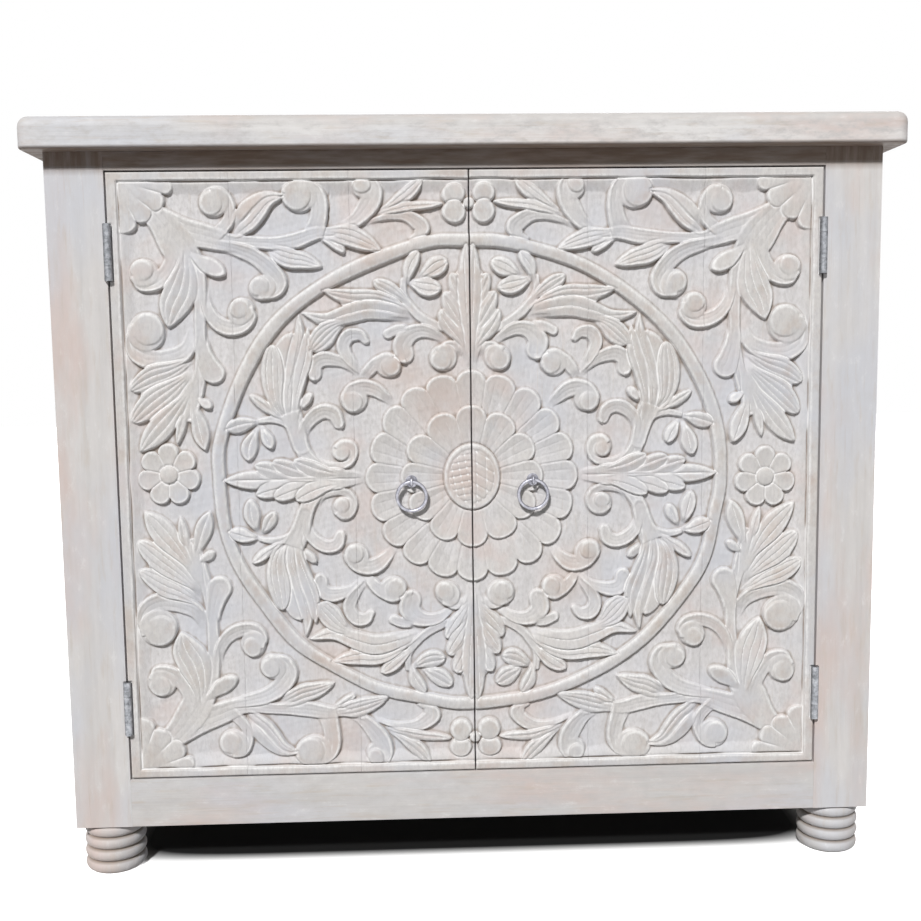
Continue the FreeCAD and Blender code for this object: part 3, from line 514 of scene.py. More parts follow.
# The boss of the rosette, with the angle and the pitch of the lines cut across each half.
BOSS_HALF_U = 33.5
BOSS_HALF_V = 39.5
BOSS_HEIGHT = 7.0
BOSS_CROWN = 1.2
BOSS_CUT_SHARE = 0.7
BOSS_RIM_SHARE = 0.8
BOSS_RIM_CUT = 1.0
BOSS_RIM_WIDTH = 1.4
BOSS_LINE_SHARE = 0.78
BOSS_LINE_DEPTH = 1.0
BOSS_LINE_WIDTH = 1.1
BOSS_LINES = {"left": ((79, 7.7), (-10, 8.5)), "right": ((59, 11), (0, 11.4))}

# The flower at the outer side of each door.
FLOWER_MIDDLES = {"left": (352, 8), "right": (347, -6)}
FLOWER_PETALS = 7
FLOWER_RADIUS = 37
FLOWER_SCALLOP = 12
FLOWER_HEIGHT = 4.2
FLOWER_RISE = 1.0
FLOWER_RISE_REACH = 34
FLOWER_DISH = 0.7
FLOWER_CUT_DEPTH = 1.8
FLOWER_CUT_WIDTH = 0.8
FLOWER_EYE_RADIUS = 11
FLOWER_EYE_BASE = 4.0
FLOWER_EYE_RISE = 3.0
FLOWER_DOME_RADIUS = 11.5

# Unevenness: forms drift, away from the middle lines, and chisel marks lie over a slow swell.
# WAVE_SUM is about the greatest sum of the waves, and LAST_CELL keeps places inside the quarter's grid.
DRIFT = 2.2
DRIFT_LENGTH = 130
DRIFT_FADE = 45
MARK_DEPTH = 0.13
MARK_LENGTH = 7
SWELL_DEPTH = 0.4
SWELL_LENGTH = 60
TOP_SMOOTH_SHARE = 0.5
WAVE_COUNT = 7
WAVE_SUM = 3
WAVE_LENGTH_SHARES = (0.7, 1.5)
LAST_CELL = 1.001

# A nail hole and a crack on the left door.
DAMAGED_SIDE = "left"
PIT_U, PIT_V = 264, 312
PIT_DEPTH = 3.0
PIT_RADIUS = 1.2
CRACK_U, CRACK_V = 160, 312
CRACK_REACH = 16
CRACK_WIDTH = 0.9
CRACK_DEPTH = 2.4
CRACK_SWAY = 1.6
CRACK_SWAY_LENGTH = 14


def waves(u, v, seed, length):
    """A smooth uneven field between about -1 and 1, with bumps about length apart."""
    draw = np.random.default_rng(seed)
    field = np.zeros(u.shape)
    for _ in range(WAVE_COUNT):
        angle = draw.uniform(0, 2 * math.pi)
        stretch = 2 * math.pi / (length * draw.uniform(*WAVE_LENGTH_SHARES))
        field += np.sin((u * math.cos(angle) + v * math.sin(angle)) * stretch + draw.uniform(0, 2 * math.pi))
    return field / WAVE_SUM


def sample(height, u, v):
    """The quarter's height between its grid points."""
    column = np.clip(u / CELL, 0, height.shape[1] - LAST_CELL)
    row = np.clip(v / CELL, 0, height.shape[0] - LAST_CELL)
    left, low = column.astype(int), row.astype(int)
    across, up = column - left, row - low
    lower = height[low, left] * (1 - across) + height[low, left + 1] * across
    upper = height[low + 1, left] * (1 - across) + height[low + 1, left + 1] * across
    return lower * (1 - up) + upper * up


def soften(height, rounds):
    """Heights averaged with their neighbours, again and again."""
    for _ in range(rounds):
        for axis in (0, 1):
            lower = np.roll(height, 1, axis)
            upper = np.roll(height, -1, axis)
            inner = [slice(None), slice(None)]
            inner[axis] = slice(1, -1)
            inner = tuple(inner)
            height[inner] = ((lower + 2 * height + upper) / 4)[inner]
    return height


def uneven_quarters(u, v, seed):
    """The carving over one door: the quarter above and below, each with forms a little out of place."""
    upper = v >= 0
    fade = ease(np.abs(v) / DRIFT_FADE) * ease(u / DRIFT_FADE)
    drift_u = np.where(upper, waves(u, v, seed, DRIFT_LENGTH), waves(u, v, seed + 1, DRIFT_LENGTH))
    drift_v = np.where(upper, waves(u, v, seed + 2, DRIFT_LENGTH), waves(u, v, seed + 3, DRIFT_LENGTH))
    return sample(carved_quarter, u + DRIFT * fade * drift_u, np.abs(v) + DRIFT * fade * drift_v)


def lay_boss(height, side, u, v):
    """The cross-cut oval in the middle of the rosette."""
    away = np.hypot(u / BOSS_HALF_U, v / BOSS_HALF_V)
    rim = bell((away - BOSS_RIM_SHARE) * BOSS_HALF_U, BOSS_RIM_WIDTH)
    top = BOSS_HEIGHT - BOSS_CROWN * away ** 2 - BOSS_RIM_CUT * rim
    for angle, pitch in BOSS_LINES[side]:
        across = u * math.cos(math.radians(angle)) + v * math.sin(math.radians(angle))
        line = bell(across % pitch - pitch / 2, BOSS_LINE_WIDTH)
        top = top - np.where(away < BOSS_LINE_SHARE, BOSS_LINE_DEPTH * line, 0)
    lay(height, EVERYWHERE, (1 - away) * BOSS_HALF_U, top, 1, BOSS_CUT_SHARE)


def lay_flower(height, side, u, v):
    """The seven-petalled flower at the outer side of a door."""
    middle_u, middle_v = FLOWER_MIDDLES[side]
    inside, turn, side_gap, away = scallops(u - middle_u, v - middle_v, FLOWER_PETALS, FLOWER_RADIUS,
                                            FLOWER_SCALLOP)
    top = FLOWER_HEIGHT + FLOWER_RISE * np.clip(away / FLOWER_RISE_REACH, 0, 1)
    top = top + LIP * bell(inside, LIP_WIDTH) + FLOWER_DISH * turn ** 2
    top = top - FLOWER_CUT_DEPTH * bell(side_gap, FLOWER_CUT_WIDTH)
    lay(height, EVERYWHERE, inside, top)
    dome = rounded(away / FLOWER_DOME_RADIUS)
    lay(height, EVERYWHERE, FLOWER_EYE_RADIUS - away, FLOWER_EYE_BASE + FLOWER_EYE_RISE * dome)


def add_border(height, u, v, z, seed):
    """The flat border round a door, its uneven cut, and the slope of the ground up to it."""
    ends = np.maximum(z - (z.max() - BORDER_END), z.min() + BORDER_END - z)
    border = np.maximum(u - (u.max() - BORDER_SIDE), ends)
    border = border + BORDER_SWAY * waves(u, v, seed + 6, BORDER_WAVE_LENGTH)
    height = np.maximum(height, BORDER_SLOPE_RISE * ease(1 + border / BORDER_SLOPE))
    uneven = ease(BORDER_CUT_SHARE + waves(u, v, seed + 10, BORDER_CUT_LENGTH))
    height = height - BORDER_CUT * bell(border + BORDER_CUT_OFFSET, BORDER_CUT_WIDTH) * uneven
    top = FRONT_HEIGHT - BORDER_DROP + BORDER_WAVE * waves(u, v, seed + 7, BORDER_WAVE_LENGTH)
    lay(height, EVERYWHERE, border, top)
    return height


def add_damage(height, u, v, seed):
    """A nail hole and a crack."""
    height = height - PIT_DEPTH * bell(np.hypot(u - PIT_U, v - PIT_V), PIT_RADIUS)
    sway = CRACK_SWAY * waves(u, v, seed + 9, CRACK_SWAY_LENGTH)
    crack = bell(u - CRACK_U - sway, CRACK_WIDTH) * bell(v - CRACK_V, CRACK_REACH)
    return height - CRACK_DEPTH * crack


def fit_edges(height, u, z):
    """Ease the edges and sink the notches for the hinges."""
    edge = np.minimum(np.minimum(u - u.min(), u.max() - u), np.minimum(z - z.min(), z.max() - z))
    height = height - EDGE_DROP * (1 - ease(edge / EDGE_WIDTH))
    for hinge in HINGE_ZS:
        notch = (np.abs(z - hinge) < HINGE_HALF) & (u > u.max() - NOTCH_WIDTH)
        height = np.where(notch, np.minimum(height, NOTCH_HEIGHT), height)
    return np.minimum(height, FRONT_HEIGHT)


def door_relief(side, u, z):
    """Heights over one door. Each uneven field has its own seed, counted on from the door's."""
    seed = DOOR_SEEDS[side]
    v = z - MEDALLION_HEIGHT
    height = uneven_quarters(u, v, seed)
    lay_boss(height, side, u, v)
    lay_flower(height, side, u, v)
    height = FRONT_HEIGHT - RELIEF_SHARE * (FRONT_HEIGHT - height)
    marks = MARK_DEPTH * waves(u, v, seed + 4, MARK_LENGTH)
    marks = marks + SWELL_DEPTH * waves(u, v, seed + 5, SWELL_LENGTH)
    height = height + marks * (1 - TOP_SMOOTH_SHARE * ease(height / LEAF_HEIGHT))
    height = add_border(height, u, v, z, seed)
    seat = ease((PULL_SEAT_RADIUS - np.hypot(u - PULL_U, v - PULL_V)) / PULL_SEAT_SLOPE)
    height = height * (1 - seat) + PULL_SEAT_HEIGHT * seat
    for joint in BOARD_JOINTS:
        uneven = ease(waves(u, v, seed + 8, JOINT_LENGTH))
        height = height - JOINT_DEPTH * bell(u - joint, JOINT_WIDTH) * uneven
    if side == DAMAGED_SIDE:
        height = add_damage(height, u, v, seed)
    return fit_edges(height, u, z)


def closed_board(name, points, hollow, rise, back, sign):
    """A closed mesh with the carved grid in front and a plain back and sides."""
    rows, columns = hollow.shape
    number = np.arange(rows * columns).reshape(rows, columns)
    ring = np.concatenate([number[0, :-1], number[:-1, -1], number[-1, :0:-1], number[:0:-1, 0]])
    front = points.reshape(-1, 3)
    rear = front[ring]
    rear[:, 1] = back
    behind = np.arange(len(ring)) + rows * columns
    corners = [number[:-1, :-1], number[:-1, 1:], number[1:, 1:], number[1:, :-1]]
    quads = np.stack(corners, axis=-1).reshape(-1, 4)
    sides = np.stack([np.roll(ring, -1), ring, behind, np.roll(behind, -1)], axis=-1)
    faces = np.vstack([quads, sides])
    lid = behind[::-1]
    if sign < 0:
        faces = faces[:, ::-1]
        lid = lid[::-1]
    mesh = bpy.data.meshes.new(name)
    mesh.from_pydata(np.vstack([front, rear]).tolist(), [], faces.tolist() + [lid.tolist()])
    smooth = np.zeros(len(faces) + 1, bool)
    smooth[:len(quads)] = True
    mesh.polygons.foreach_set("use_smooth", smooth)
    for attribute_name, values in (("hollow", hollow), ("rise", rise)):
        attribute = mesh.attributes.new(attribute_name, "FLOAT", "POINT")
        attribute.data.foreach_set("value", np.concatenate([values.ravel(), np.zeros(len(ring))]))
    return mesh


def carved_door(side, sign):
    """Three boards joined edge to edge, carved across their joints."""
    lowest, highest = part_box(f"{side}_door_panel")
    inner = min(abs(lowest.x), abs(highest.x)) / MM - MEETING_REACH
    outer = max(abs(lowest.x), abs(highest.x)) / MM - EDGE_SET_IN
    low, high = lowest.z / MM, highest.z / MM
    columns = round((outer - inner) / DOOR_GRID) + 1
    rows = round((high - low) / DOOR_GRID) + 1
    u, z = np.meshgrid(np.linspace(inner, outer, columns), np.linspace(low, high, rows))
    height = door_relief(side, u, z)
    hollow = soften(height.copy(), HOLLOW_ROUNDS) - height
    rise = height / FRONT_HEIGHT
    points = np.stack([sign * u * MM, lowest.y + (FRONT_HEIGHT - height) * MM, z * MM], axis=-1)
    joints = [0] + [round((joint - inner) / DOOR_GRID) for joint in BOARD_JOINTS] + [columns - 1]
    for place, (start, end) in enumerate(zip(joints, joints[1:]), 1):
        part = slice(start, end + 1)
        name = f"{side}_door_board_{place}"
        mesh = closed_board(name, points[:, part], hollow[:, part], rise[:, part], highest.y, sign)
        board = bpy.data.objects.new(name, mesh)
        bpy.context.scene.collection.objects.link(board)
        mesh.materials.append(carved_wood)
        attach(board, f"{side}_door")
        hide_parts(f"{side}_door_panel")


# Colours of the wash, the wood under it, and the dirt and painted shade in its cuts.
PALE = (0.65, 0.625, 0.61, 1)
GROUND = (0.67, 0.65, 0.65, 1)
TOPS = (0.625, 0.60, 0.575, 1)
GREY = (0.50, 0.48, 0.47, 1)
PINK = (0.60, 0.485, 0.445, 1)
BLUE = (0.565, 0.575, 0.615, 1)
TAN = (0.52, 0.44, 0.36, 1)
# Dirt and painted shade: this brown also darkens the carving's deep cuts and the feet's ring grooves.
DIRT_AND_SHADE = (0.21, 0.16, 0.12, 1)
BARE = (0.46, 0.35, 0.28, 1)
# Painted shade: a dark brown under the top board's overhang, partly wood the wash missed, partly its shadow.
UNDER_TOP_BARE_AND_SHADE = (0.15, 0.10, 0.07, 1)
# Rubbed wash and painted shade: a darker colour for the top board's upper edge, which faces the lamp.
WORN_TOP_AND_SHADE = (0.53, 0.505, 0.485, 1)
STAIN = (0.57, 0.45, 0.395, 1)
# The wash, also used as a painted highlight along the carving's edges that stand out.
WASH_AND_HIGHLIGHT = (0.82, 0.81, 0.80, 1)
TOP_LIGHT = (0.73, 0.71, 0.695, 1)
FOOT_LIGHT = (0.50, 0.475, 0.455, 1)
# Painted shade: the rails' wash is a little darker, standing in for less light low on the front.
RAIL_PALE_PAINTED_SHADE = (0.60, 0.58, 0.565, 1)
INNER_LIGHT = (0.56, 0.49, 0.42, 1)
INNER_SHADE = (0.40, 0.32, 0.25, 1)

# Colours of the fittings.
ZINC_BRIGHT = (0.33, 0.34, 0.36, 1)
ZINC_DULL = (0.11, 0.115, 0.125, 1)
STEEL_BRIGHT = (0.42, 0.42, 0.42, 1)
STEEL_DULL = (0.22, 0.21, 0.2, 1)
SILVER_BRIGHT = (0.40, 0.40, 0.44, 1)
SILVER_DULL = (0.19, 0.19, 0.22, 1)
PLASTIC_LIGHT = (0.16, 0.10, 0.07, 1)
PLASTIC_SHADE = (0.11, 0.07, 0.05, 1)
WHITE = (1, 1, 1, 1)

# Depth of the fine bumps of each surface, and the share in them of the finest noise.
BUMP_STRENGTH = 0.6
WOOD_BUMP = 0.6 * MM
CARVED_BUMP = 0.8 * MM
METAL_BUMP = 0.2 * MM
PLASTIC_BUMP = 0.1 * MM
PORE_BUMP_SHARE = 0.6
RUBBING_BUMP_SHARE = 0.4

# Roughness of each surface, from one end to the other of the span that most noise lies in.
NOISE_SPAN = (0.3, 0.7)
WOOD_ROUGHNESS = (0.55, 0.75)
CARVED_ROUGHNESS = (0.58, 0.76)
ZINC_ROUGHNESS = (0.36, 0.58)
STEEL_ROUGHNESS = (0.3, 0.5)
SILVER_ROUGHNESS = (0.35, 0.55)
PLASTIC_ROUGHNESS = (0.42, 0.55)

# Greatest shares of the tints of a sound wash. A thinner wash shows more of the last two.
STREAK_SHARE = 0.6
TINT_SHARE = 0.75
SMUDGE_SHARE = 0.2
WASH_SHARE = 0.3
BRUSHED_SHARE = 0.4
PORE_SHARE = 0.28

# Painted shade: close under the top board the wood is darkened, partly as wood the wash missed and partly
# as the overhang's painted shadow. The board's upper edge is rubbed, and is also darkened as painted
# shade where it faces the lamp.
SHADE_START = 27 * MM
SHADE_FULL = 15 * MM
SHADE_OVERLAP = 4 * MM
WORN_AND_SHADE_START = 17 * MM
WORN_AND_SHADE_FULL = 5 * MM
slab_base, slab_top = [corner.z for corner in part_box("top_board")]

# Dirt and painted shade in the grooves between the rings of the feet.
FOOT_RINGS = 4
GROOVE_EDGE = 3 * MM
GROOVE_CORE = 0.6 * MM
foot_base, foot_top = [corner.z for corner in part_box("front_left_foot")]
foot_pitch = (foot_top - foot_base) / FOOT_RINGS

# Hollows of the carving, in millimetres below what lies round them: dirt and painted shade in the deep ones,
# wash in the shallow ones and a painted highlight along the edges that stand out.
DIRT_AND_SHADE_HOLLOWS = (0.7, 2.1)
WASH_HOLLOWS = (0.2, 0.8)
HIGHLIGHT_EDGE_HOLLOWS = (-0.4, -1.2)

# Heights on the carving, as shares of its front, from where each look starts to where it is full.
WIPED_RISE_SHARES = (0.3, 0.75)
RUBBED_RISE_SHARES = (0.66, 0.9)
FILLED_RISE_SHARES = (0.45, 0.62)
DIRT_AND_SHADE_RISE_SHARES = (0.6, 0.35)

# Rubbed brown places on the doors: (x, z, radius, greatest share of brown), in metres.
STAIN_CORE_SHARE = 0.2
STAINS = [
    (-0.033, 0.560, 0.060, 0.6), (-0.084, 0.596, 0.040, 0.5), (-0.018, 0.474, 0.036, 0.9),
    (0.112, 0.355, 0.045, 0.5), (-0.160, 0.160, 0.050, 0.5), (-0.170, 0.255, 0.040, 0.4),
    (-0.060, 0.770, 0.050, 0.45), (-0.110, 0.735, 0.050, 0.45), (0.215, 0.780, 0.050, 0.35),
    (-0.015, 0.690, 0.050, 0.4), (0.016, 0.474, 0.034, 0.35),
]


class Finish:
    """A material, with short ways to add and join its nodes."""

    def __init__(self, name):
        self.material = bpy.data.materials.new(name)
        self.material.use_nodes = True
        self.tree = self.material.node_tree
        self.shader = self.tree.nodes["Principled BSDF"]
        self.place = self.add("ShaderNodeTexCoord").outputs["Object"]

    def add(self, kind, feeds=None, **settings):
        node = self.tree.nodes.new(kind)
        for name, value in settings.items():
            setattr(node, name, value)
        for name, value in (feeds or {}).items():
            self.feed(node.inputs[name], value)
        return node

    def feed(self, socket, value):
        if isinstance(value, bpy.types.NodeSocket):
            self.tree.links.new(value, socket)
        else:
            socket.default_value = value

    def noise(self, scale, detail=3.0, roughness=0.55, offset=(0, 0, 0)):
        """Noise between 0 and 1, with its own scale along each axis, in bumps to the metre."""
        spot = self.add("ShaderNodeMapping", {"Vector": self.place, "Scale": scale, "Location": offset})
        feeds = {"Vector": spot.outputs["Vector"], "Scale": 1.0, "Detail": detail, "Roughness": roughness}
        return self.add("ShaderNodeTexNoise", feeds).outputs["Fac"]

    def span(self, value, low, high, bottom=0.0, top=1.0):
        """A value moved from the span between low and high to the one between bottom and top."""
        feeds = {"Value": value, "From Min": low, "From Max": high, "To Min": bottom, "To Max": top}
        return self.add("ShaderNodeMapRange", feeds).outputs["Result"]

    def number(self, operation, first, second):
        return self.add("ShaderNodeMath", {0: first, 1: second}, operation=operation).outputs[0]

    def vector(self, operation, first, second):
        return self.add("ShaderNodeVectorMath", {0: first, 1: second}, operation=operation)

    def times(self, first, second):
        return self.number("MULTIPLY", first, second)

    def plus(self, first, second):
        return self.number("ADD", first, second)

    def blend(self, share, first, second):
        """A mix of two colours. The node's colour sockets share their names, so they go by number."""
        feeds = {0: share, 6: first, 7: second}
        return self.add("ShaderNodeMix", feeds, data_type="RGBA").outputs[2]

    def tint(self, colour, other, field, low, high, share):
        """Another colour over the first, from none where the field is low to a share where it is high."""
        return self.blend(self.span(field, low, high, top=share), colour, other)

    def attribute(self, name):
        return self.add("ShaderNodeAttribute", attribute_name=name).outputs["Fac"]

    def surface(self, colour, roughness, bump, bump_depth):
        self.feed(self.shader.inputs["Base Color"], colour)
        self.feed(self.shader.inputs["Roughness"], roughness)
        feeds = {"Height": bump, "Strength": BUMP_STRENGTH, "Distance": bump_depth}
        self.feed(self.shader.inputs["Normal"], self.add("ShaderNodeBump", feeds).outputs["Normal"])


def along_grain(axis, across, along):
    """A noise scale that is fine across the grain and long along it."""
    return tuple(along if number == axis else across for number in range(3))


def washed_wood(name, axis, light=PALE, shade=GREY, thin_share=0.0, smudge_share=SMUDGE_SHARE,
                tint_share=TINT_SHARE, ring_pitch=None):
    """Washed wood: grain streaks, tinted patches, rubbed places, dirt in grooves and painted shade."""
    finish = Finish(name)
    streaks = finish.noise(along_grain(axis, 55, 2.2), detail=5.0, roughness=0.62)
    pores = finish.noise(along_grain(axis, 420, 9), roughness=0.6)
    patches = finish.noise(along_grain(axis, 16, 4.5), detail=4.0, roughness=0.6, offset=(3.1, 1.7, 0.4))
    tints = finish.noise(along_grain(axis, 11, 4), offset=(7.7, 2.9, 5.1))
    brush = finish.noise(along_grain(axis, 160, 20), detail=4.0, roughness=0.6, offset=(0.3, 0.8, 0.1))
    smudges = finish.noise(along_grain(axis, 110, 45), detail=5.0, roughness=0.72, offset=(1.1, 0.6, 2.3))
    level = finish.add("ShaderNodeSeparateXYZ", {"Vector": finish.place}).outputs["Z"]
    # The top board's upper edge is rubbed, and darkened as painted shade where it faces the lamp.
    upper_edge = finish.span(level, slab_top - WORN_AND_SHADE_START, slab_top - WORN_AND_SHADE_FULL)
    worn_and_shaded = finish.times(upper_edge, finish.span(patches, 0.35, 0.65, bottom=0.7))
    colour = finish.blend(worn_and_shaded, light, WORN_TOP_AND_SHADE)
    colour = finish.tint(colour, shade, streaks, 0.42, 0.70, STREAK_SHARE)
    colour = finish.tint(colour, PINK, patches, 0.48, 0.66, tint_share)
    colour = finish.tint(colour, BLUE, tints, 0.48, 0.66, tint_share)
    colour = finish.tint(colour, GREY, smudges, 0.47, 0.68, smudge_share)
    colour = finish.tint(colour, WASH_AND_HIGHLIGHT, smudges, 0.42, 0.30, WASH_SHARE)
    colour = finish.tint(colour, TAN, brush, 0.56, 0.76, BRUSHED_SHARE + thin_share)
    colour = finish.tint(colour, BARE, pores, 0.62, 0.74, PORE_SHARE + thin_share)
    # Painted shadow of the top board's overhang, over wood that the wash missed, broken by brush streaks.
    shaded = finish.times(finish.span(level, slab_base - SHADE_START, slab_base - SHADE_FULL),
                          finish.span(level, slab_base + SHADE_OVERLAP, slab_base))
    shaded = finish.times(shaded, finish.span(brush, 0.3, 0.6, bottom=0.75, top=0.95))
    colour = finish.blend(shaded, colour, UNDER_TOP_BARE_AND_SHADE)
    # Dirt and painted shade in the grooves between the turned rings.
    if ring_pitch:
        groove = finish.number("PINGPONG", level, ring_pitch / 2)
        colour = finish.tint(colour, DIRT_AND_SHADE, groove, GROOVE_EDGE, GROOVE_CORE, share=0.75)
    roughness = finish.span(brush, *NOISE_SPAN, *WOOD_ROUGHNESS)
    bump = finish.plus(streaks, finish.times(pores, PORE_BUMP_SHARE))
    finish.surface(colour, roughness, bump, WOOD_BUMP)
    return finish.material


def stains(finish):
    """The share of brown at the rubbed places."""
    share_so_far = 0.0
    for x, z, reach, share in STAINS:
        flat = finish.vector("MULTIPLY", finish.place, (1, 0, 1))
        spot = finish.vector("DISTANCE", flat.outputs[0], (x, 0, z))
        stain = finish.span(spot.outputs["Value"], reach, STAIN_CORE_SHARE * reach, top=share)
        share_so_far = finish.plus(share_so_far, stain)
    return share_so_far


def carved_finish():
    """The doors' wash: dirt and painted shade in cuts, painted edge highlights, wash rubbed off tops."""
    finish = Finish("carved_wash")
    hollow = finish.attribute("hollow")
    rise = finish.attribute("rise")
    streaks = finish.noise((60, 60, 4), detail=5.0, roughness=0.62)
    pores = finish.noise((380, 380, 14), roughness=0.6)
    patches = finish.noise((17, 17, 17), roughness=0.6, offset=(1.3, 0.2, 4.4))
    tints = finish.noise((8, 8, 8), offset=(2.2, 6.1, 0.7))
    grime = finish.noise((30, 30, 30), detail=4.0, roughness=0.65)
    mottle = finish.noise((260, 260, 130), detail=4.0, roughness=0.7, offset=(0.7, 3.3, 1.9))
    wiped = finish.times(finish.span(rise, *WIPED_RISE_SHARES), finish.span(grime, 0.3, 0.6, bottom=0.7))
    colour = finish.blend(wiped, GROUND, TOPS)
    colour = finish.tint(colour, GREY, streaks, 0.42, 0.72, share=0.45)
    colour = finish.tint(colour, GREY, mottle, 0.42, 0.70, share=0.8)
    colour = finish.tint(colour, PINK, patches, 0.52, 0.70, share=0.45)
    colour = finish.tint(colour, BLUE, tints, 0.48, 0.68, share=0.75)
    stained = finish.times(stains(finish), finish.span(grime, 0.3, 0.6, bottom=0.35))
    colour = finish.blend(stained, colour, STAIN)
    rubbed = finish.times(finish.span(rise, *RUBBED_RISE_SHARES), finish.span(grime, 0.5, 0.72, top=0.42))
    colour = finish.blend(rubbed, colour, BARE)
    colour = finish.tint(colour, TAN, pores, 0.62, 0.74, share=0.25)
    filled = finish.times(finish.span(rise, *FILLED_RISE_SHARES), finish.span(hollow, *WASH_HOLLOWS, top=0.9))
    # Painted highlight: the carving's edges that stand out are whitened.
    painted_edge_highlight = finish.times(finish.span(hollow, *HIGHLIGHT_EDGE_HOLLOWS, top=0.9),
                         finish.span(mottle, 0.35, 0.6, bottom=1.0, top=0.4))
    colour = finish.blend(finish.plus(filled, painted_edge_highlight), colour, WASH_AND_HIGHLIGHT)
    # Dirt and painted shade in the deep cuts, low down at the feet of the forms.
    dirt_and_shade = finish.times(finish.span(hollow, *DIRT_AND_SHADE_HOLLOWS, top=0.8),
                         finish.span(grime, 0.25, 0.6, bottom=0.5))
    colour = finish.blend(finish.times(dirt_and_shade, finish.span(rise, *DIRT_AND_SHADE_RISE_SHARES)), colour, DIRT_AND_SHADE)
    roughness = finish.span(grime, *NOISE_SPAN, *CARVED_ROUGHNESS)
    bump = finish.plus(finish.plus(streaks, finish.times(pores, PORE_BUMP_SHARE)), mottle)
    finish.surface(colour, roughness, bump, CARVED_BUMP)
    return finish.material


def worn_metal(name, bright, dull, roughness_ends):
    """Metal with dull patches and fine rubbing."""
    finish = Finish(name)
    patches = finish.noise((180, 180, 180), detail=4.0, roughness=0.65)
    fine = finish.noise((1400, 1400, 500), detail=2.0, roughness=0.5)
    colour = finish.blend(finish.span(patches, 0.35, 0.68), bright, dull)
    roughness = finish.span(patches, *NOISE_SPAN, *roughness_ends)
    finish.feed(finish.shader.inputs["Metallic"], 1.0)
    bump = finish.plus(patches, finish.times(fine, RUBBING_BUMP_SHARE))
    finish.surface(colour, roughness, bump, METAL_BUMP)
    return finish.material


def moulded_plastic(name, light, shade):
    """Plastic with a fine grain and faint clouds."""
    finish = Finish(name)
    grain = finish.noise((900, 900, 900), roughness=0.6)
    cloud = finish.noise((40, 40, 40), detail=2.0, roughness=0.5)
    colour = finish.blend(finish.span(cloud, 0.35, 0.65), light, shade)
    roughness = finish.span(grain, *NOISE_SPAN, *PLASTIC_ROUGHNESS)
    finish.surface(colour, roughness, grain, PLASTIC_BUMP)
    return finish.material


# One finish for each material slot, and for wood one for each direction of the grain.
carved_wood = carved_finish()
# The rails get the darker wash, which is painted shade.
frame_woods = [washed_wood("frame_wash_x", 0, RAIL_PALE_PAINTED_SHADE, thin_share=0.1, smudge_share=0.6),
               washed_wood("frame_wash_y", 1),
               washed_wood("frame_wash_z", 2)]
inner_woods = [washed_wood(f"inner_wash_{letter}", axis, INNER_LIGHT, INNER_SHADE, thin_share=0.2,
                           tint_share=0.3)
               for axis, letter in enumerate("xyz")]
top_wood = washed_wood("top_wash", 0, TOP_LIGHT, thin_share=0.12, smudge_share=0.8)
foot_wood = washed_wood("foot_wash", 2, FOOT_LIGHT, ring_pitch=foot_pitch)
GRAINED_FINISHES = {"frame_wood": frame_woods, "inner_wood": inner_woods, "carved_wood": [carved_wood] * 3}
PLAIN_FINISHES = {
    "zinc_hinge": worn_metal("worn_zinc", ZINC_BRIGHT, ZINC_DULL, ZINC_ROUGHNESS),
    "steel_fixing": worn_metal("screw_steel", STEEL_BRIGHT, STEEL_DULL, STEEL_ROUGHNESS),
    "pull_metal": worn_metal("pull_silver", SILVER_BRIGHT, SILVER_DULL, SILVER_ROUGHNESS),
    "catch_plastic": moulded_plastic("catch_plastic", PLASTIC_LIGHT, PLASTIC_SHADE),
}

# Eased edges of the posts and rails.
WELD_GAP = 0.01 * MM
EASED_WIDTH = 0.5 * MM
EASED_SEGMENTS = 3
EASED_ANGLE = math.radians(50)


def grain_axis(node):
    """Boards have their grain along their longest side."""
    lowest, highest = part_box(node)
    size = highest - lowest
    return max(range(3), key=lambda axis: size[axis])


def ease_edges(piece):
    weld = piece.modifiers.new("weld", "WELD")
    weld.merge_threshold = WELD_GAP
    bevel = piece.modifiers.new("eased_edges", "BEVEL")
    bevel.width = EASED_WIDTH
    bevel.segments = EASED_SEGMENTS
    bevel.limit_method = "ANGLE"
    bevel.angle_limit = EASED_ANGLE
    bevel.harden_normals = True


for row in frame["record"]["subparts"]:
    name = row["node"]
    slot = row["material_slot"]
    piece = frame["nodes"][name]
    if name == "top_board":
        finish = top_wood
    elif name.endswith("_foot"):
        finish = foot_wood
    elif slot in GRAINED_FINISHES:
        finish = GRAINED_FINISHES[slot][grain_axis(name)]
    else:
        finish = PLAIN_FINISHES[slot]
    piece.data.materials.clear()
    piece.data.materials.append(finish)
    if name.endswith(("_post", "_rail")):
        ease_edges(piece)

carved_quarter = carve_quarter()
carved_door("left", -1)
carved_door("right", 1)

# Camera where the photograph was taken. Its turns are in radians and its sensor's width in millimetres.
PHOTO_PIXELS = 921
FOCUS_PIXELS = 1100
SENSOR_WIDTH = 36
CAMERA_PLACE = (-0.0571, -1.4528, 0.6247)
CAMERA_YAW = -0.0342
CAMERA_PITCH = 0.1023
CAMERA_ROLL = -0.0133
camera_data = bpy.data.cameras.new("photo_camera")
camera_data.sensor_width = SENSOR_WIDTH
camera_data.lens = SENSOR_WIDTH * FOCUS_PIXELS / PHOTO_PIXELS
camera = bpy.data.objects.new("photo_camera", camera_data)
bpy.context.scene.collection.objects.link(camera)
camera.matrix_world = (Matrix.Translation(CAMERA_PLACE)
                       @ Matrix.Rotation(CAMERA_YAW, 4, "Z")
                       @ Matrix.Rotation(math.pi / 2 - CAMERA_PITCH, 4, "X")
                       @ Matrix.Rotation(CAMERA_ROLL, 4, "Z"))
bpy.context.scene.camera = camera

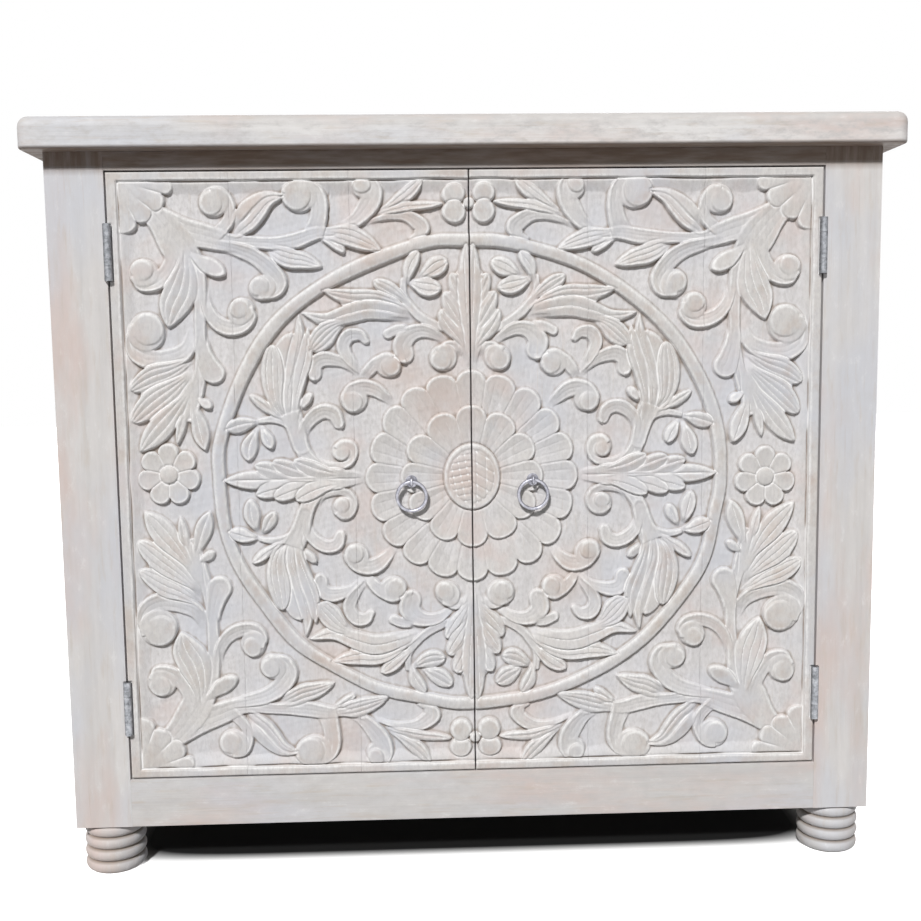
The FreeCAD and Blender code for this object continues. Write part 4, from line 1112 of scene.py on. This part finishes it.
# Lamps: name, place, target, power in watts, width and depth.
LAMPS = [
    ("key", (-7.6, -23.5, 21.0), (0, -0.2, 0.5), 11200, 2.6, 2.2),
    ("fill", (2.6, -4.6, 1.6), (0, -0.2, 0.4), 18, 3.0, 2.4),
    ("rear", (2.0, 6.0, 3.5), (0, 0.2, 0.45), 280, 3.0, 2.4),
]
for name, place, target, power, width, depth in LAMPS:
    lamp_data = bpy.data.lights.new(name, "AREA")
    lamp_data.shape = "RECTANGLE"
    lamp_data.size = width
    lamp_data.size_y = depth
    lamp_data.energy = power
    lamp = bpy.data.objects.new(name, lamp_data)
    lamp.location = place
    lamp.rotation_euler = (Vector(target) - Vector(place)).to_track_quat("-Z", "Y").to_euler()
    bpy.context.scene.collection.objects.link(lamp)


def seen_white(tree, shown, unseen):
    """One value for what the camera, mirrors and glass see, and another for the light on the object."""
    path = tree.nodes.new("ShaderNodeLightPath")
    seen = path.outputs["Is Camera Ray"]
    for name in ("Is Glossy Ray", "Is Transmission Ray"):
        either = tree.nodes.new("ShaderNodeMath")
        either.operation = "MAXIMUM"
        tree.links.new(seen, either.inputs[0])
        tree.links.new(path.outputs[name], either.inputs[1])
        seen = either.outputs[0]
    pick = tree.nodes.new("ShaderNodeMapRange")
    tree.links.new(seen, pick.inputs["Value"])
    for name, value in (("To Min", unseen), ("To Max", shown)):
        if isinstance(value, bpy.types.NodeSocket):
            tree.links.new(value, pick.inputs[name])
        else:
            pick.inputs[name].default_value = value
    return pick.outputs["Result"]


# A white surround that sheds little light of its own.
SURROUND_LIGHT = 0.05
world = bpy.data.worlds.new("surround")
bpy.context.scene.world = world
world.use_nodes = True
surround = world.node_tree.nodes["Background"]
surround.inputs["Color"].default_value = WHITE
world.node_tree.links.new(seen_white(world.node_tree, 1.0, SURROUND_LIGHT), surround.inputs["Strength"])

# The floor keeps the lamps' shadow close round the cabinet, is painted dark under it as a painted shadow,
# and is white beyond. The shadow's room is a rounded rectangle, and each squaring makes its corners squarer.
FLOOR_HALF = 8
FLOOR_SHADOW_X = 0.475
FLOOR_SHADOW_Y = 0.145
FLOOR_SQUARINGS = 3
# Painted shadow: the floor's colour for the camera under the cabinet.
FLOOR_PAINTED_SHADOW = 0.012
FLOOR_LIT = 1.1
FLOOR_BOUNCE = 0.22
FLOOR_PAINTED_SHADOW_SHARE = 0.35
FLOOR_LIT_SHARE = 0.9
FLOOR_WHITE_SHARE = 1.8
FLOOR_ROUGHNESS = 0.9
FLOOR_SHINE = 0.1


def floor_material():
    """A pale matt floor with a painted shadow under the cabinet, white beyond for the camera."""
    finish = Finish("pale_floor")
    shader = finish.shader
    stretch = (1 / FLOOR_SHADOW_X, 1 / FLOOR_SHADOW_Y, 0)
    spread = finish.vector("MULTIPLY", finish.place, stretch).outputs[0]
    for _ in range(FLOOR_SQUARINGS):
        spread = finish.vector("MULTIPLY", spread, spread).outputs[0]
    away = finish.vector("DOT_PRODUCT", spread, (1, 1, 0)).outputs["Value"]
    # Painted shadow: for the camera the floor is nearly black under the cabinet and pale round it.
    shown = finish.span(away, FLOOR_PAINTED_SHADOW_SHARE, FLOOR_LIT_SHARE, FLOOR_PAINTED_SHADOW, FLOOR_LIT)
    finish.feed(shader.inputs["Base Color"], seen_white(finish.tree, shown, FLOOR_BOUNCE))
    finish.feed(shader.inputs["Roughness"], FLOOR_ROUGHNESS)
    finish.feed(shader.inputs["Specular IOR Level"], FLOOR_SHINE)
    finish.feed(shader.inputs["Emission Color"], WHITE)
    beyond = finish.span(away, FLOOR_LIT_SHARE, FLOOR_WHITE_SHARE)
    glow = finish.times(beyond, seen_white(finish.tree, 1.0, 0.0))
    finish.feed(shader.inputs["Emission Strength"], glow)
    return finish.material


floor_corners = [(-FLOOR_HALF, -FLOOR_HALF, 0), (FLOOR_HALF, -FLOOR_HALF, 0),
                 (FLOOR_HALF, FLOOR_HALF, 0), (-FLOOR_HALF, FLOOR_HALF, 0)]
floor_mesh = bpy.data.meshes.new("floor")
floor_mesh.from_pydata(floor_corners, [], [(0, 1, 2, 3)])
floor_mesh.materials.append(floor_material())
floor = bpy.data.objects.new("floor", floor_mesh)
bpy.context.scene.collection.objects.link(floor)
bpy.context.scene.view_settings.view_transform = "Standard"
